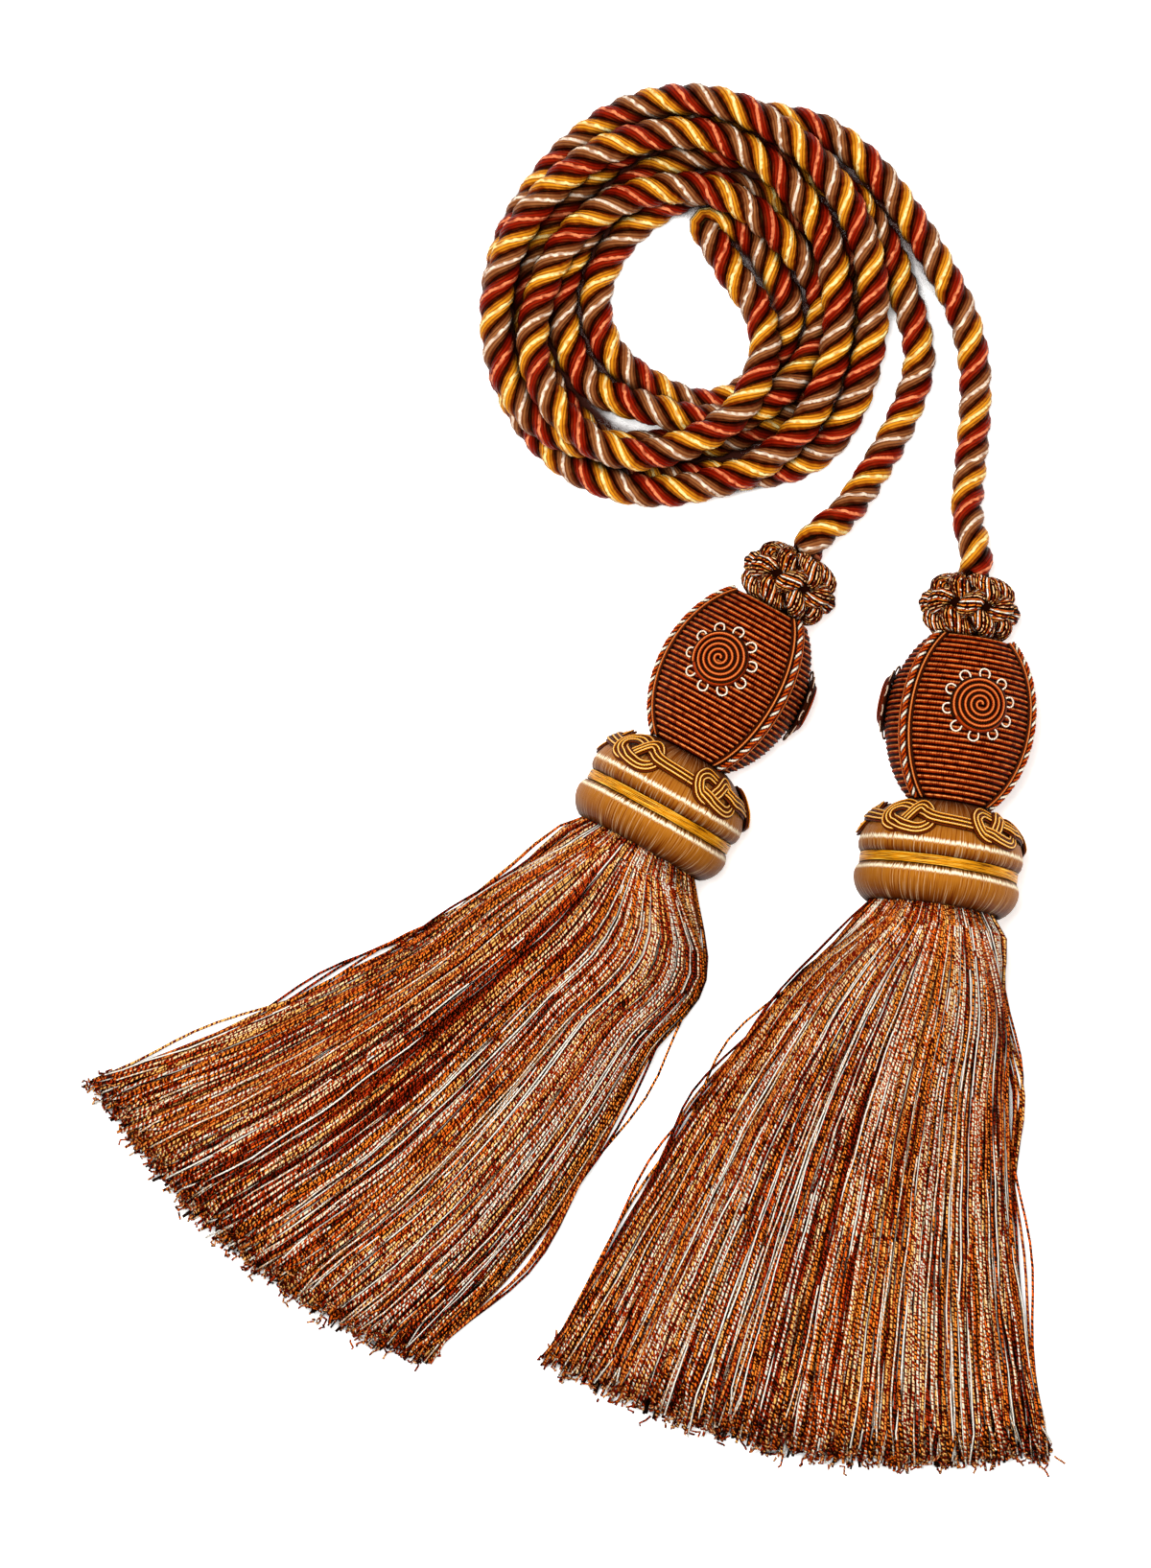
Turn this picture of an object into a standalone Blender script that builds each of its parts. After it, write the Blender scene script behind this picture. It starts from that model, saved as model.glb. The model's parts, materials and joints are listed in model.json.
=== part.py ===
"""Curtain tieback: a three-strand cord, coiled as it lies, with a tassel on each end.

The object lies on a flat surface, Z up, and Z = 0 is that surface. X runs to the right and Y
away from the tassels' skirts, seen from above. The origin is under the middle of the tassels.
"""
import math

import bmesh
import bpy
import numpy as np
from mathutils import Matrix, Vector

MM = 0.001
GAP = 0.3 * MM                      # between pieces that touch

# Cord
CORD_DIAMETER = 9.8 * MM
CORD_VALLEY = 3.7 * MM              # from the cord's middle to the groove between two strands
CORD_LAY = 23.0 * MM                # length of one full turn of the strands
CORD_STRANDS = 3
RINGS_PER_LAY = 5
COIL_CENTRE = (35.7 * MM, 220.5 * MM)

# Coil, from its fold to the left tassel's tail and to the right one's: bearing clockwise
# from +Y in degrees, distance from the coil's middle and height of the cord's middle in mm.
# On the surface the height is 5, on one layer 15.3 and on two 25.6.
# bearing, radius, height
INNER_TURNS = (
    (14, 25.2, 6.5), (36, 18.6, 7.0), (62, 17.1, 8.0), (94, 21.9, 10.5), (110, 25.8, 13.8),
    (123, 29.4, 17.3), (136, 32.4, 21.3), (150, 36.6, 24.8), (162, 39.9, 25.6), (177, 43.8, 25.6),
    (190, 48.0, 25.6), (201, 51.3, 25.6), (215, 52.8, 25.6), (230, 52.5, 25.2), (247, 51.0, 20.7),
    (262, 48.0, 17.0), (280, 44.1, 15.3), (299, 41.4, 15.3), (319, 38.4, 15.3), (344, 36.0, 15.3),
    (368, 35.4, 15.3), (390, 35.1, 15.3), (405, 35.1, 15.0), (417, 36.3, 12.6), (426, 37.8, 10.6),
    (435, 39.9, 8.4), (448, 42.6, 5.2), (460, 42.9, 5.0), (470, 42.6, 5.8), (482, 42.0, 10.0),
    (495, 40.8, 13.6), (510, 39.9, 15.3), (525, 38.4, 15.3), (540, 36.6, 15.3), (552, 35.4, 15.0),
    (562, 35.4, 13.5), (574, 36.9, 9.8), (588, 39.0, 5.6), (604, 39.1, 5.0), (625, 38.9, 5.0),
    (641, 38.6, 5.0), (660, 38.1, 5.0), (675, 38.2, 5.0), (690, 39.4, 5.0), (705, 41.7, 5.0),
    (720, 45.0, 5.0), (735, 48.4, 5.0), (750, 51.6, 5.0), (764, 56.1, 5.0), (777, 61.2, 5.0),
)
OUTER_TURNS = (
    (28, 28.8, 5.3), (44, 28.8, 5.0), (64, 28.5, 5.0), (76, 29.4, 5.0), (89, 31.5, 5.0),
    (100, 32.3, 5.0), (119, 32.7, 5.0), (139, 33.6, 5.0), (163, 33.3, 5.0), (177, 31.8, 5.0),
    (190, 29.7, 5.0), (205, 28.2, 5.0), (222, 27.9, 5.0), (240, 28.2, 5.0), (260, 28.2, 5.0),
    (280, 28.0, 5.0), (300, 27.6, 5.0), (317, 28.0, 5.0), (334, 29.1, 5.0), (350, 31.5, 5.0),
    (362, 33.9, 5.0), (375, 37.3, 5.0), (390, 39.8, 5.0), (405, 41.4, 5.0), (418, 44.7, 5.0),
    (430, 48.9, 5.0), (442, 52.5, 5.0), (455, 54.0, 5.0), (468, 53.4, 5.0), (482, 51.3, 5.0),
    (495, 47.4, 5.0), (510, 45.0, 5.0), (525, 44.4, 5.0), (538, 44.4, 5.3), (548, 45.3, 8.2),
    (556, 47.1, 12.2), (564, 49.8, 14.8), (574, 53.7, 15.5), (584, 57.6, 15.5), (594, 60.0, 15.4),
    (607, 60.6, 15.4), (625, 59.7, 15.4), (646, 57.3, 15.4), (664, 55.2, 15.3), (688, 53.7, 15.3),
    (710, 52.8, 15.3), (730, 52.2, 15.3), (748, 50.1, 15.3), (766, 48.3, 15.3), (787, 47.7, 15.3),
    (810, 47.4, 15.3), (821, 48.3, 15.3), (835, 49.8, 15.3), (855, 53.1, 15.3), (878, 56.1, 15.3),
    (900, 58.5, 15.3), (913, 60.6, 14.0), (925, 61.8, 10.4), (937, 62.4, 6.2), (951, 62.1, 5.0),
    (970, 60.9, 5.0), (990, 59.4, 5.0), (1010, 58.5, 5.0), (1033, 58.5, 5.0), (1047, 60.0, 5.2),
    (1061, 62.0, 7.0), (1074, 63.0, 10.5), (1087, 63.0, 14.2), (1100, 61.8, 15.3), (1120, 60.0, 15.3),
    (1145, 58.8, 15.3), (1164, 58.5, 15.3), (1180, 58.8, 15.3), (1194, 60.0, 15.0), (1205, 61.5, 12.2),
    (1217, 62.7, 7.2), (1228, 60.9, 5.0), (1237, 57.9, 5.0), (1250, 55.2, 5.0), (1265, 55.1, 5.0),
    (1278, 53.9, 5.0), (1290, 51.7, 5.0), (1305, 50.5, 5.0), (1325, 49.9, 5.0), (1345, 49.3, 5.0),
    (1365, 48.6, 5.0), (1385, 48.3, 5.0), (1400, 48.9, 5.0), (1415, 50.7, 5.0), (1430, 53.4, 5.0),
    (1445, 57.0, 5.0), (1460, 61.8, 5.0), (1470, 65.1, 5.0),
)
FOLD_POINT = (44.7, 246.3, 5.8)     # the cord's bight, in mm
ENTRY_STRAIGHT = 5.5 * MM           # of the cord, before it enters a knot
CORD_SETBACK = 0.35 * MM            # of each face where the coil meets a tail, on a slight bend

# Tails, from the coil towards each tassel's knot: x, y and height of the cord's middle in mm.
LEFT_TAIL = (
    (92.7, 247.2, 5.0), (97.2, 239.7, 5.0), (100.8, 232.2, 5.0), (103.2, 225.0, 5.0),
    (105.8, 217.5, 5.0), (107.8, 210.0, 5.0), (108.6, 202.2, 5.0), (107.1, 194.1, 5.0),
    (103.8, 185.1, 5.6), (99.6, 176.4, 7.6), (94.8, 168.3, 10.8), (90.0, 160.8, 14.6),
    (84.6, 153.6, 18.8),
)
RIGHT_TAIL = (
    (76.8, 274.8, 5.0), (84.6, 270.3, 5.0), (91.8, 264.3, 5.0), (99.0, 256.2, 5.0),
    (105.6, 246.9, 5.0), (111.3, 237.9, 5.0), (116.4, 228.6, 5.0), (121.2, 219.0, 5.0),
    (124.3, 209.4, 5.0), (125.9, 199.8, 5.0), (126.1, 189.0, 5.0), (125.5, 178.2, 5.2),
    (124.3, 166.2, 7.4), (123.6, 154.0, 12.4),
)

# Tassels. Along each one's axis, distances run from the egg's middle towards the skirt.
EGG_RADIUS = 22.9 * MM
EGG_ELLIPSE = 31.0 * MM             # half length of the ellipse that the egg is cut from
EGG_END = 26.0 * MM
EGG_ROWS = 9
TURNED_SIDES = 20
BORDER_HALF_WIDTH = 3.0 * MM
BORDER_HEIGHT = 1.1 * MM
BORDER_SHARE = 0.985                # of the egg's length
PANEL_ANGLE = 120.0                 # between the egg's three panels
MEDALLION_STATION = -3.6 * MM
MEDALLION_RADIUS = 11.2 * MM
MEDALLION_NOTCH = 9.8 * MM          # radius between two of its loops
MEDALLION_LOOPS = 12
MEDALLION_HEIGHT = 1.9 * MM
KNOT_RADIUS = 14.5 * MM
KNOT_LENGTH = 19.4 * MM
KNOT_LUMPS = 6
KNOT_ROWS = 3
KNOT_ENDS = (66.0, 54.0)            # degrees: how far it rounds in towards the cord and the egg
KNOT_ROUNDNESS = 0.66
KNOT_SWELL = 0.075                  # of its radius, each lump
CAP_START = EGG_END + GAP
CAP_LENGTH = 33.0 * MM
HEADING_RADIUS = 20.3 * MM
HEADING_DEPTH = 2.6 * MM
TRIM_KNOTS = 5
TRIM_STATION = 7.6                  # of its middle from the cap's top, over the outline, in mm
TRIM_LIFT = 0.35                    # off the cap, in mm
TRIM_CORD = (1.6, 1.5)              # half width and height between two knots, in mm
TRIM_KNOT = (4.2, 1.8)              # and at a knot
LOCKS_ACROSS = 14
LOCKS_HIGH = 5
LOCK_FILL = 0.84                    # share of its cell that a lock fills
LOCK_UNEVEN = (0, 2, 4, 1, 3)       # how much shorter each lock in turn is cut, in LOCK_STEPs
LOCK_STEP = 0.025                   # share of the skirt's last quarter
EDGE_THINNING = 0.45                # of the skirt's height, at its two edges

# The cap's turned outline: distance from its top and radius, in mm.
CAP_OUTLINE = (
    (0.0, 13.3), (2.2, 17.6), (5.8, 21.6), (10.5, 24.8), (15.2, 26.0), (18.0, 25.2), (18.3, 24.1),
    (21.8, 24.1), (22.1, 25.2), (25.8, 26.0), (29.8, 24.7), (33.0, 21.8), (33.0, 20.7), (30.0, 20.7),
)
BAND_OUTLINE = ((18.6, 24.45), (18.6, 25.0), (20.05, 25.3), (21.5, 25.0), (21.5, 24.45))

# side: the egg's middle (mm), the axis's turn from -Y towards -X and its rise towards the skirt,
# the turn of the panel that faces up and of a knot of the trim (degrees from the top towards +X),
# and how far the ball of cords at the head sits to one side (mm).
TASSELS = {
    "left": dict(egg=(49.7, 101.7, 25.0), turn=29.0, rise=1.8, panel=-16.0, trim=33.0, knot_aside=1.0),
    "right": dict(egg=(120.8, 89.1, 25.0), turn=8.2, rise=6.0, panel=12.5, trim=42.0, knot_aside=-1.8),
}

# Skirts, from the heading to the cut ends: share of the length, the left and right edges' x and
# y, and the underside's and the top's height, in mm.
SKIRTS = {
    "left": dict(bow=11.6, rows=(
        (0.12, -14.4, 44.1, 40.2, 19.5, 1.2, 43.0),
        (0.35, -50.4, 19.5, 23.7, -14.4, 0.0, 30.0),
        (0.68, -103.8, -6.6, -12.3, -72.9, 0.0, 18.0),
        (1.00, -150.9, -23.4, -47.4, -111.9, 0.0, 10.5))),
    "right": dict(bow=13.5, rows=(
        (0.12, 80.7, 18.0, 133.5, 8.4, 4.5, 47.0),
        (0.35, 53.7, -12.9, 135.6, -30.0, 0.0, 31.0),
        (0.68, 25.2, -54.9, 139.2, -85.5, 0.0, 18.0),
        (1.00, -9.3, -112.5, 149.1, -142.2, 0.0, 10.5))),
}

# name: base colour (linear), roughness, metallic
FINISHES = {
    "cord": ((0.34, 0.10, 0.03, 1.0), 0.45, 0.0),
    "knot": ((0.30, 0.09, 0.03, 1.0), 0.55, 0.0),
    "egg": ((0.30, 0.06, 0.015, 1.0), 0.6, 0.0),
    "border": ((0.55, 0.22, 0.12, 1.0), 0.55, 0.0),
    "medallion": ((0.48, 0.12, 0.03, 1.0), 0.6, 0.0),
    "cap": ((0.58, 0.34, 0.12, 1.0), 0.35, 0.0),
    "band": ((0.80, 0.45, 0.06, 1.0), 0.25, 0.9),
    "trim": ((0.60, 0.30, 0.09, 1.0), 0.5, 0.0),
    "skirt": ((0.42, 0.16, 0.07, 1.0), 0.6, 0.0),
}


def clear_scene():
    for obj in list(bpy.data.objects):
        bpy.data.objects.remove(obj, do_unlink=True)


def finish_material(kind):
    material = bpy.data.materials.get(kind) or bpy.data.materials.new(kind)
    colour, roughness, metallic = FINISHES[kind]
    material.use_nodes = True
    shader = material.node_tree.nodes["Principled BSDF"]
    shader.inputs["Base Color"].default_value = colour
    shader.inputs["Roughness"].default_value = roughness
    shader.inputs["Metallic"].default_value = metallic
    return material


def add_object(name, data, kind, place=None):
    obj = bpy.data.objects.new(name, data)
    data.materials.append(finish_material(kind))
    bpy.context.scene.collection.objects.link(obj)
    if place is not None:
        obj.matrix_world = place
    return obj


def add_mesh(name, bm, kind, place=None, smooth=True):
    bmesh.ops.recalc_face_normals(bm, faces=bm.faces)
    mesh = bpy.data.meshes.new(name)
    bm.to_mesh(mesh)
    bm.free()
    if smooth:
        mesh.shade_smooth()
        mesh.set_sharp_from_angle(angle=math.radians(40))
    return add_object(name, mesh, kind, place)


# Cord

def coil_points(turns):
    """Turn rows of bearing, radius and height into points."""
    points = []
    for bearing, radius, height in turns:
        angle = math.radians(bearing)
        points.append((COIL_CENTRE[0] + radius * MM * math.sin(angle),
                       COIL_CENTRE[1] + radius * MM * math.cos(angle), height * MM))
    return points


def smooth_curve(points, step):
    """Read points a step apart from a smooth curve (centripetal Catmull-Rom) through a route."""
    fine = 24
    route = np.array(points)
    route = np.vstack([2 * route[0] - route[1], route, 2 * route[-1] - route[-2]])
    dense = []
    for before, start, end, after in zip(route, route[1:], route[2:], route[3:]):
        spans = [np.linalg.norm(b - a) ** 0.5 for a, b in ((before, start), (start, end), (end, after))]
        leave = spans[1] * ((start - before) / spans[0] - (end - before) / (spans[0] + spans[1])
                            + (end - start) / spans[1])
        arrive = spans[1] * ((end - start) / spans[1] - (after - start) / (spans[1] + spans[2])
                             + (after - end) / spans[2])
        for share in np.arange(fine) / fine:
            there = 3 * share ** 2 - 2 * share ** 3
            dense.append(start + (end - start) * there + leave * share * (1 - share) ** 2
                         - arrive * share ** 2 * (1 - share))
    dense.append(route[-2])
    dense = np.array(dense)
    along = np.append(0, np.cumsum(np.linalg.norm(np.diff(dense, axis=0), axis=1)))
    stations = np.linspace(0, along[-1], round(along[-1] / step) + 1)
    return np.column_stack([np.interp(stations, along, dense[:, axis]) for axis in range(3)]), stations


def cord_route():
    """The whole cord's middle from the left knot to the right one, and where the coil begins and ends."""
    left = [tuple(value * MM for value in row) for row in LEFT_TAIL] + knot_entry("left")
    right = [tuple(value * MM for value in row) for row in RIGHT_TAIL] + knot_entry("right")
    fold = [tuple(value * MM for value in FOLD_POINT)]
    points = (coil_points(INNER_TURNS) + left)[::-1] + fold + coil_points(OUTER_TURNS) + right
    line, stations = smooth_curve(points, CORD_LAY / RINGS_PER_LAY)
    line[:, 2] = np.maximum(line[:, 2], CORD_DIAMETER / 2)
    first = np.argmin(np.linalg.norm(line - np.array(left[1]), axis=1))
    last = np.argmin(np.linalg.norm(line - np.array(right[1]), axis=1))
    return line, stations, first, last


def knot_entry(side):
    """The cord's last two points, straight on to the face of its knot."""
    place = knot_place(side)
    face = KNOT_LENGTH / 2 + GAP
    return [tuple(place @ Vector((0, 0, -face - reach))) for reach in (ENTRY_STRAIGHT, 0)]


def strand_profile():
    """The cord's section, one point for each strand's crown and each groove, as a guide curve."""
    curve = bpy.data.curves.new("strand_profile", "CURVE")
    spline = curve.splines.new("POLY")
    corners = 2 * CORD_STRANDS
    spline.points.add(corners - 1)
    for corner, point in enumerate(spline.points):
        radius = CORD_VALLEY if corner % 2 else CORD_DIAMETER / 2
        angle = -2 * math.pi * corner / corners
        point.co = (radius * math.cos(angle), radius * math.sin(angle), 0, 1)
    spline.use_cyclic_u = True
    guide = bpy.data.objects.new("strand_profile", curve)
    bpy.context.scene.collection.objects.link(guide)
    guide.hide_render = True
    guide.display_type = "WIRE"
    return guide


def cord_length(name, line, stations, profile):
    curve = bpy.data.curves.new(name, "CURVE")
    curve.dimensions = "3D"
    curve.twist_mode = "MINIMUM"
    curve.bevel_mode = "OBJECT"
    curve.bevel_object = profile
    curve.use_fill_caps = True
    spline = curve.splines.new("POLY")
    spline.points.add(len(line) - 1)
    for point, place, station in zip(spline.points, line, stations):
        point.co = (*place, 1)
        point.tilt = 2 * math.pi * (station / CORD_LAY % 1)
    spline.use_smooth = True
    return add_object(name, curve, "cord")


def pull_back(line, at_start, amount):
    """Move one end of a length back along itself, to leave a gap to what it meets."""
    ends = line.copy()
    here, near = (0, 1) if at_start else (-1, -2)
    inward = line[near] - line[here]
    ends[here] += inward * amount / np.linalg.norm(inward)
    return ends


def build_cord():
    line, stations, first, last = cord_route()
    profile = strand_profile()
    ends = len(line) - 1
    lengths = (("rope_tail_left", 0, first), ("rope_coil", first, last), ("rope_tail_right", last, ends))
    for name, start, end in lengths:
        piece = line[start:end + 1]
        if start > 0:
            piece = pull_back(piece, True, CORD_SETBACK)
        if end < ends:
            piece = pull_back(piece, False, CORD_SETBACK)
        cord_length(name, piece, stations[start:end + 1], profile)


# Tassels

def tassel_place(side, station=0.0):
    """A frame on a tassel's axis: local Z runs to the skirt, Y up and X to the right."""
    row = TASSELS[side]
    turn, rise = math.radians(row["turn"]), math.radians(row["rise"])
    axis = Vector((-math.sin(turn) * math.cos(rise), -math.cos(turn) * math.cos(rise), math.sin(rise)))
    across = Vector((0, 0, 1)).cross(axis).normalized()
    frame = Matrix((across, axis.cross(across), axis)).transposed().to_4x4()
    return Matrix.Translation(Vector(row["egg"]) * MM + axis * station) @ frame


def knot_place(side):
    station = -(EGG_END + GAP + KNOT_LENGTH / 2)
    return tassel_place(side, station) @ Matrix.Translation((TASSELS[side]["knot_aside"] * MM, 0, 0))


def turned(outline, sides=TURNED_SIDES, ring=False):
    """Spin an outline of (distance along Z, radius) about Z into a closed body."""
    bm = bmesh.new()
    verts = [bm.verts.new((radius, 0, along)) for along, radius in outline]
    if ring:
        pairs = list(zip(verts, verts[1:] + verts[:1]))
    else:
        verts = [bm.verts.new((0, 0, outline[0][0]))] + verts + [bm.verts.new((0, 0, outline[-1][0]))]
        pairs = list(zip(verts, verts[1:]))
    edges = [bm.edges.new(pair) for pair in pairs]
    bmesh.ops.spin(bm, geom=verts + edges, cent=(0, 0, 0), axis=(0, 0, 1), angle=2 * math.pi,
                   steps=sides, use_merge=True)
    bmesh.ops.remove_doubles(bm, verts=bm.verts, dist=0.01 * MM)
    return bm


def egg_radius(along):
    return EGG_RADIUS * math.sqrt(1 - (along / EGG_ELLIPSE) ** 2)


def egg_rows():
    """Stations of the egg's rings, closer where it curves in most."""
    half = math.asin(EGG_END / EGG_ELLIPSE)
    return [EGG_ELLIPSE * math.sin(half * (2 * row / (EGG_ROWS - 1) - 1)) for row in range(EGG_ROWS)]


def egg_point(along, angle, lift):
    """A point over the egg: station, angle from its top towards +X in radians, and lift off it."""
    radius = egg_radius(along)
    slope = -EGG_RADIUS ** 2 * along / (EGG_ELLIPSE ** 2 * radius)
    size = math.hypot(1, slope)
    reach = radius + lift / size
    return Vector((reach * math.sin(angle), reach * math.cos(angle), along - lift * slope / size))


def build_egg(side):
    bm = turned([(along, egg_radius(along)) for along in egg_rows()])
    add_mesh(f"egg_{side}", bm, "egg", tassel_place(side))


def loft(rings, closed):
    """Skin a row of equal rings of points, round to the first one again or with end faces."""
    bm = bmesh.new()
    loops = [[bm.verts.new(point) for point in ring] for ring in rings]
    spans = list(zip(loops, loops[1:] + (loops[:1] if closed else [])))
    for here, there in spans:
        for corner in range(len(here)):
            ahead = (corner + 1) % len(here)
            bm.faces.new((here[corner], here[ahead], there[ahead], there[corner]))
    if not closed:
        bm.faces.new(loops[0])
        bm.faces.new(loops[-1])
    return bm


def build_border(side, number, degrees):
    """A cord sewn over the egg from end to end, between two panels."""
    rings = []
    middle = math.radians(degrees)
    for along in egg_rows():
        spread = BORDER_HALF_WIDTH / egg_radius(along)
        section = ((-1, GAP), (0, GAP), (1, GAP), (0.75, BORDER_HEIGHT * 0.8), (0, GAP + BORDER_HEIGHT),
                   (-0.75, BORDER_HEIGHT * 0.8))
        rings.append([egg_point(along * BORDER_SHARE, middle + share * spread, lift)
                      for share, lift in section])
    add_mesh(f"border_{side}_{number}", loft(rings, False), "border", tassel_place(side))


def build_medallion(side, number, degrees):
    """A coiled cord disc with a ring of small loops, sewn on the middle of a panel."""
    middle = math.radians(degrees)
    corners = 2 * MEDALLION_LOOPS

    def over_egg(radius, turn, lift):
        along = MEDALLION_STATION + radius * math.cos(turn)
        return egg_point(along, middle + radius * math.sin(turn) / egg_radius(along), lift)

    bm = bmesh.new()
    rows = ((0.5, GAP), (1.0, GAP), (1.0, GAP + MEDALLION_HEIGHT * 0.6), (0.72, GAP + MEDALLION_HEIGHT))
    loops = []
    for share, lift in rows:
        loop = []
        for corner in range(corners):
            reach = MEDALLION_NOTCH if share == 1 and corner % 2 else MEDALLION_RADIUS
            loop.append(bm.verts.new(over_egg(share * reach, 2 * math.pi * corner / corners, lift)))
        loops.append(loop)
    for here, there in zip(loops, loops[1:]):
        for corner in range(corners):
            ahead = (corner + 1) % corners
            bm.faces.new((here[corner], here[ahead], there[ahead], there[corner]))
    for loop, lift in ((loops[0], GAP), (loops[-1], GAP + MEDALLION_HEIGHT * 1.1)):
        centre = bm.verts.new(over_egg(0, 0, lift))
        for corner in range(corners):
            bm.faces.new((loop[corner], loop[(corner + 1) % corners], centre))
    add_mesh(f"medallion_{side}_{number}", bm, "medallion", tassel_place(side))


def build_knot(side):
    """The ball of interlaced cords over the egg's head, with a flat face where the cord enters."""
    rings = 2 * KNOT_ROWS + 1
    outline = []
    for ring in range(rings):
        share = 2 * ring / (rings - 1) - 1
        end = math.radians(KNOT_ENDS[0 if share < 0 else 1])
        outline.append((share * KNOT_LENGTH / 2, KNOT_RADIUS * math.cos(share * end) ** KNOT_ROUNDNESS))
    bm = turned(outline, sides=3 * KNOT_LUMPS)
    for vert in bm.verts:
        share = 2 * vert.co.z / KNOT_LENGTH
        if abs(share) > 0.99:
            continue
        ring = round((share + 1) * (rings - 1) / 2)
        angle = math.atan2(vert.co.y, vert.co.x)
        lump = math.cos(KNOT_LUMPS * angle + math.pi * (ring // 2))
        swell = 1 + KNOT_SWELL * (0.4 + lump if ring % 2 else 0.35 * lump - 0.7)
        vert.co.x *= swell
        vert.co.y *= swell
    add_mesh(f"knot_{side}", bm, "knot", knot_place(side))


def cap_surface(along):
    """Radius and outward normal (radial, axial) of the cap's outline at a distance from its top in mm."""
    for (start, low), (end, high) in zip(CAP_OUTLINE, CAP_OUTLINE[1:]):
        if start <= along <= end:
            size = math.hypot(end - start, high - low)
            radius = low + (high - low) * (along - start) / (end - start)
            return radius, (end - start) / size, -(high - low) / size
    raise ValueError("not on the cap's shoulder")


def build_cap(side):
    bm = turned([(along * MM, radius * MM) for along, radius in CAP_OUTLINE])
    add_mesh(f"cap_{side}", bm, "cap", tassel_place(side, CAP_START))


def build_band(side):
    bm = turned([(along * MM, radius * MM) for along, radius in BAND_OUTLINE], ring=True)
    add_mesh(f"band_{side}", bm, "band", tassel_place(side, CAP_START))


def build_trim(side):
    """The cord tied in flat knots that lies round the cap's shoulder."""
    stations = TRIM_KNOTS * 6
    first = math.radians(TASSELS[side]["trim"])
    rings = []
    for station in range(stations):
        angle = 2 * math.pi * (station + 0.5) / stations
        swell = max(0.0, math.cos(TRIM_KNOTS * (angle - first))) ** 0.7
        half, height = (cord + (knot - cord) * swell for cord, knot in zip(TRIM_CORD, TRIM_KNOT))
        low = TRIM_LIFT
        ring = []
        for share, rise in ((-1, low), (-0.3, low), (0.4, low), (1, low), (0.7, height), (-0.7, height)):
            along = TRIM_STATION + share * half
            radius, out, ahead = cap_surface(along)
            reach, depth = (radius + rise * out) * MM, (along + rise * ahead) * MM
            ring.append((reach * math.sin(angle), reach * math.cos(angle), depth))
        rings.append(ring)
    add_mesh(f"trim_{side}", loft(rings, True), "trim", tassel_place(side, CAP_START))


def cell_lines(count):
    """Edges of the locks across a heading, from -1 to 1, with a space between two locks."""
    pitch = 2 / (count - 1 + LOCK_FILL)
    lines = []
    for cell in range(count):
        start = -1 + cell * pitch
        lines += [start, start + pitch * LOCK_FILL]
    return lines


def on_disc(across, height):
    """Bend the square from -1 to 1 to a disc of radius 1."""
    return across * math.sqrt(1 - height ** 2 / 2), height * math.sqrt(1 - across ** 2 / 2)


def fan_point(row, bow, across, height):
    """A point of a skirt's section: across from -1 to 1, height from -1 to 1."""
    share, left_x, left_y, right_x, right_y, low, high = row
    side = (across + 1) / 2
    chord = Vector((right_x - left_x, right_y - left_y))
    outward = Vector((chord.y, -chord.x)).normalized()
    ground = Vector((left_x, left_y)) + chord * side + outward * bow * share ** 2 * (1 - across ** 2)
    crown = (high - low) * (1 - EDGE_THINNING * across ** 4)
    return Vector((ground.x, ground.y, low + crown * (height + 1) / 2)) * MM


def build_skirt(side):
    """The skirt of separate locks, whose roots are fused into a heading inside the cap."""
    heading = tassel_place(side, CAP_START + CAP_LENGTH)
    columns, levels = cell_lines(LOCKS_ACROSS), cell_lines(LOCKS_HIGH)
    bm = bmesh.new()
    grid = {}
    cell = {}
    for column, across in enumerate(columns):
        for level, height in enumerate(levels):
            x, y = on_disc(across, height)
            vert = bm.verts.new(heading @ Vector((x * HEADING_RADIUS, y * HEADING_RADIUS, 0)))
            grid[column, level] = vert
            cell[vert] = (across, height)
    roots = []
    for column in range(len(columns) - 1):
        for level in range(len(levels) - 1):
            corners = ((column, level), (column + 1, level), (column + 1, level + 1), (column, level + 1))
            face = bm.faces.new([grid[corner] for corner in corners])
            if column % 2 == 0 and level % 2 == 0:
                roots.append(face)
    rim = [edge for edge in bm.edges if edge.is_boundary]
    bow, rows = SKIRTS[side]["bow"], SKIRTS[side]["rows"]
    back = heading.to_3x3() @ Vector((0, 0, -HEADING_DEPTH))
    wall = bmesh.ops.extrude_edge_only(bm, edges=rim)["geom"]
    bmesh.ops.translate(bm, verts=[item for item in wall if isinstance(item, bmesh.types.BMVert)], vec=back)
    bmesh.ops.contextual_create(bm, geom=[edge for edge in bm.edges if edge.is_boundary])
    for number, root in enumerate(roots):
        grow_lock(bm, root, [cell[vert] for vert in root.verts], rows, bow, number)
    add_mesh(f"skirt_{side}", bm, "skirt", smooth=False)


def grow_lock(bm, root, shares, rows, bow, number):
    """Extrude one root face through the skirt's sections, to an end as uneven as cut yarn."""
    face = root
    left_off = LOCK_STEP * LOCK_UNEVEN[number % len(LOCK_UNEVEN)]
    for row in rows:
        face = bmesh.ops.extrude_discrete_faces(bm, faces=[face])["faces"][0]
        for vert, (across, height) in zip(face.verts, shares):
            vert.co = fan_point(row, bow, across, height)
            if row is rows[-1]:
                before = fan_point(rows[-2], bow, across, height)
                vert.co = before + (vert.co - before) * (1 - left_off)


def build_tassel(side):
    build_knot(side)
    build_egg(side)
    panel = TASSELS[side]["panel"]
    for number in range(3):
        build_medallion(side, number + 1, panel + number * PANEL_ANGLE)
        build_border(side, number + 1, panel + (number + 0.5) * PANEL_ANGLE)
    build_cap(side)
    build_band(side)
    build_trim(side)
    build_skirt(side)


def main():
    clear_scene()
    build_cord()
    for side in TASSELS:
        build_tassel(side)


main()
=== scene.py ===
"""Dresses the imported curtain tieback: cord, knotted heads, ribbed eggs, satin caps and yarn skirts."""
import json
import math
from functools import partial

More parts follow.
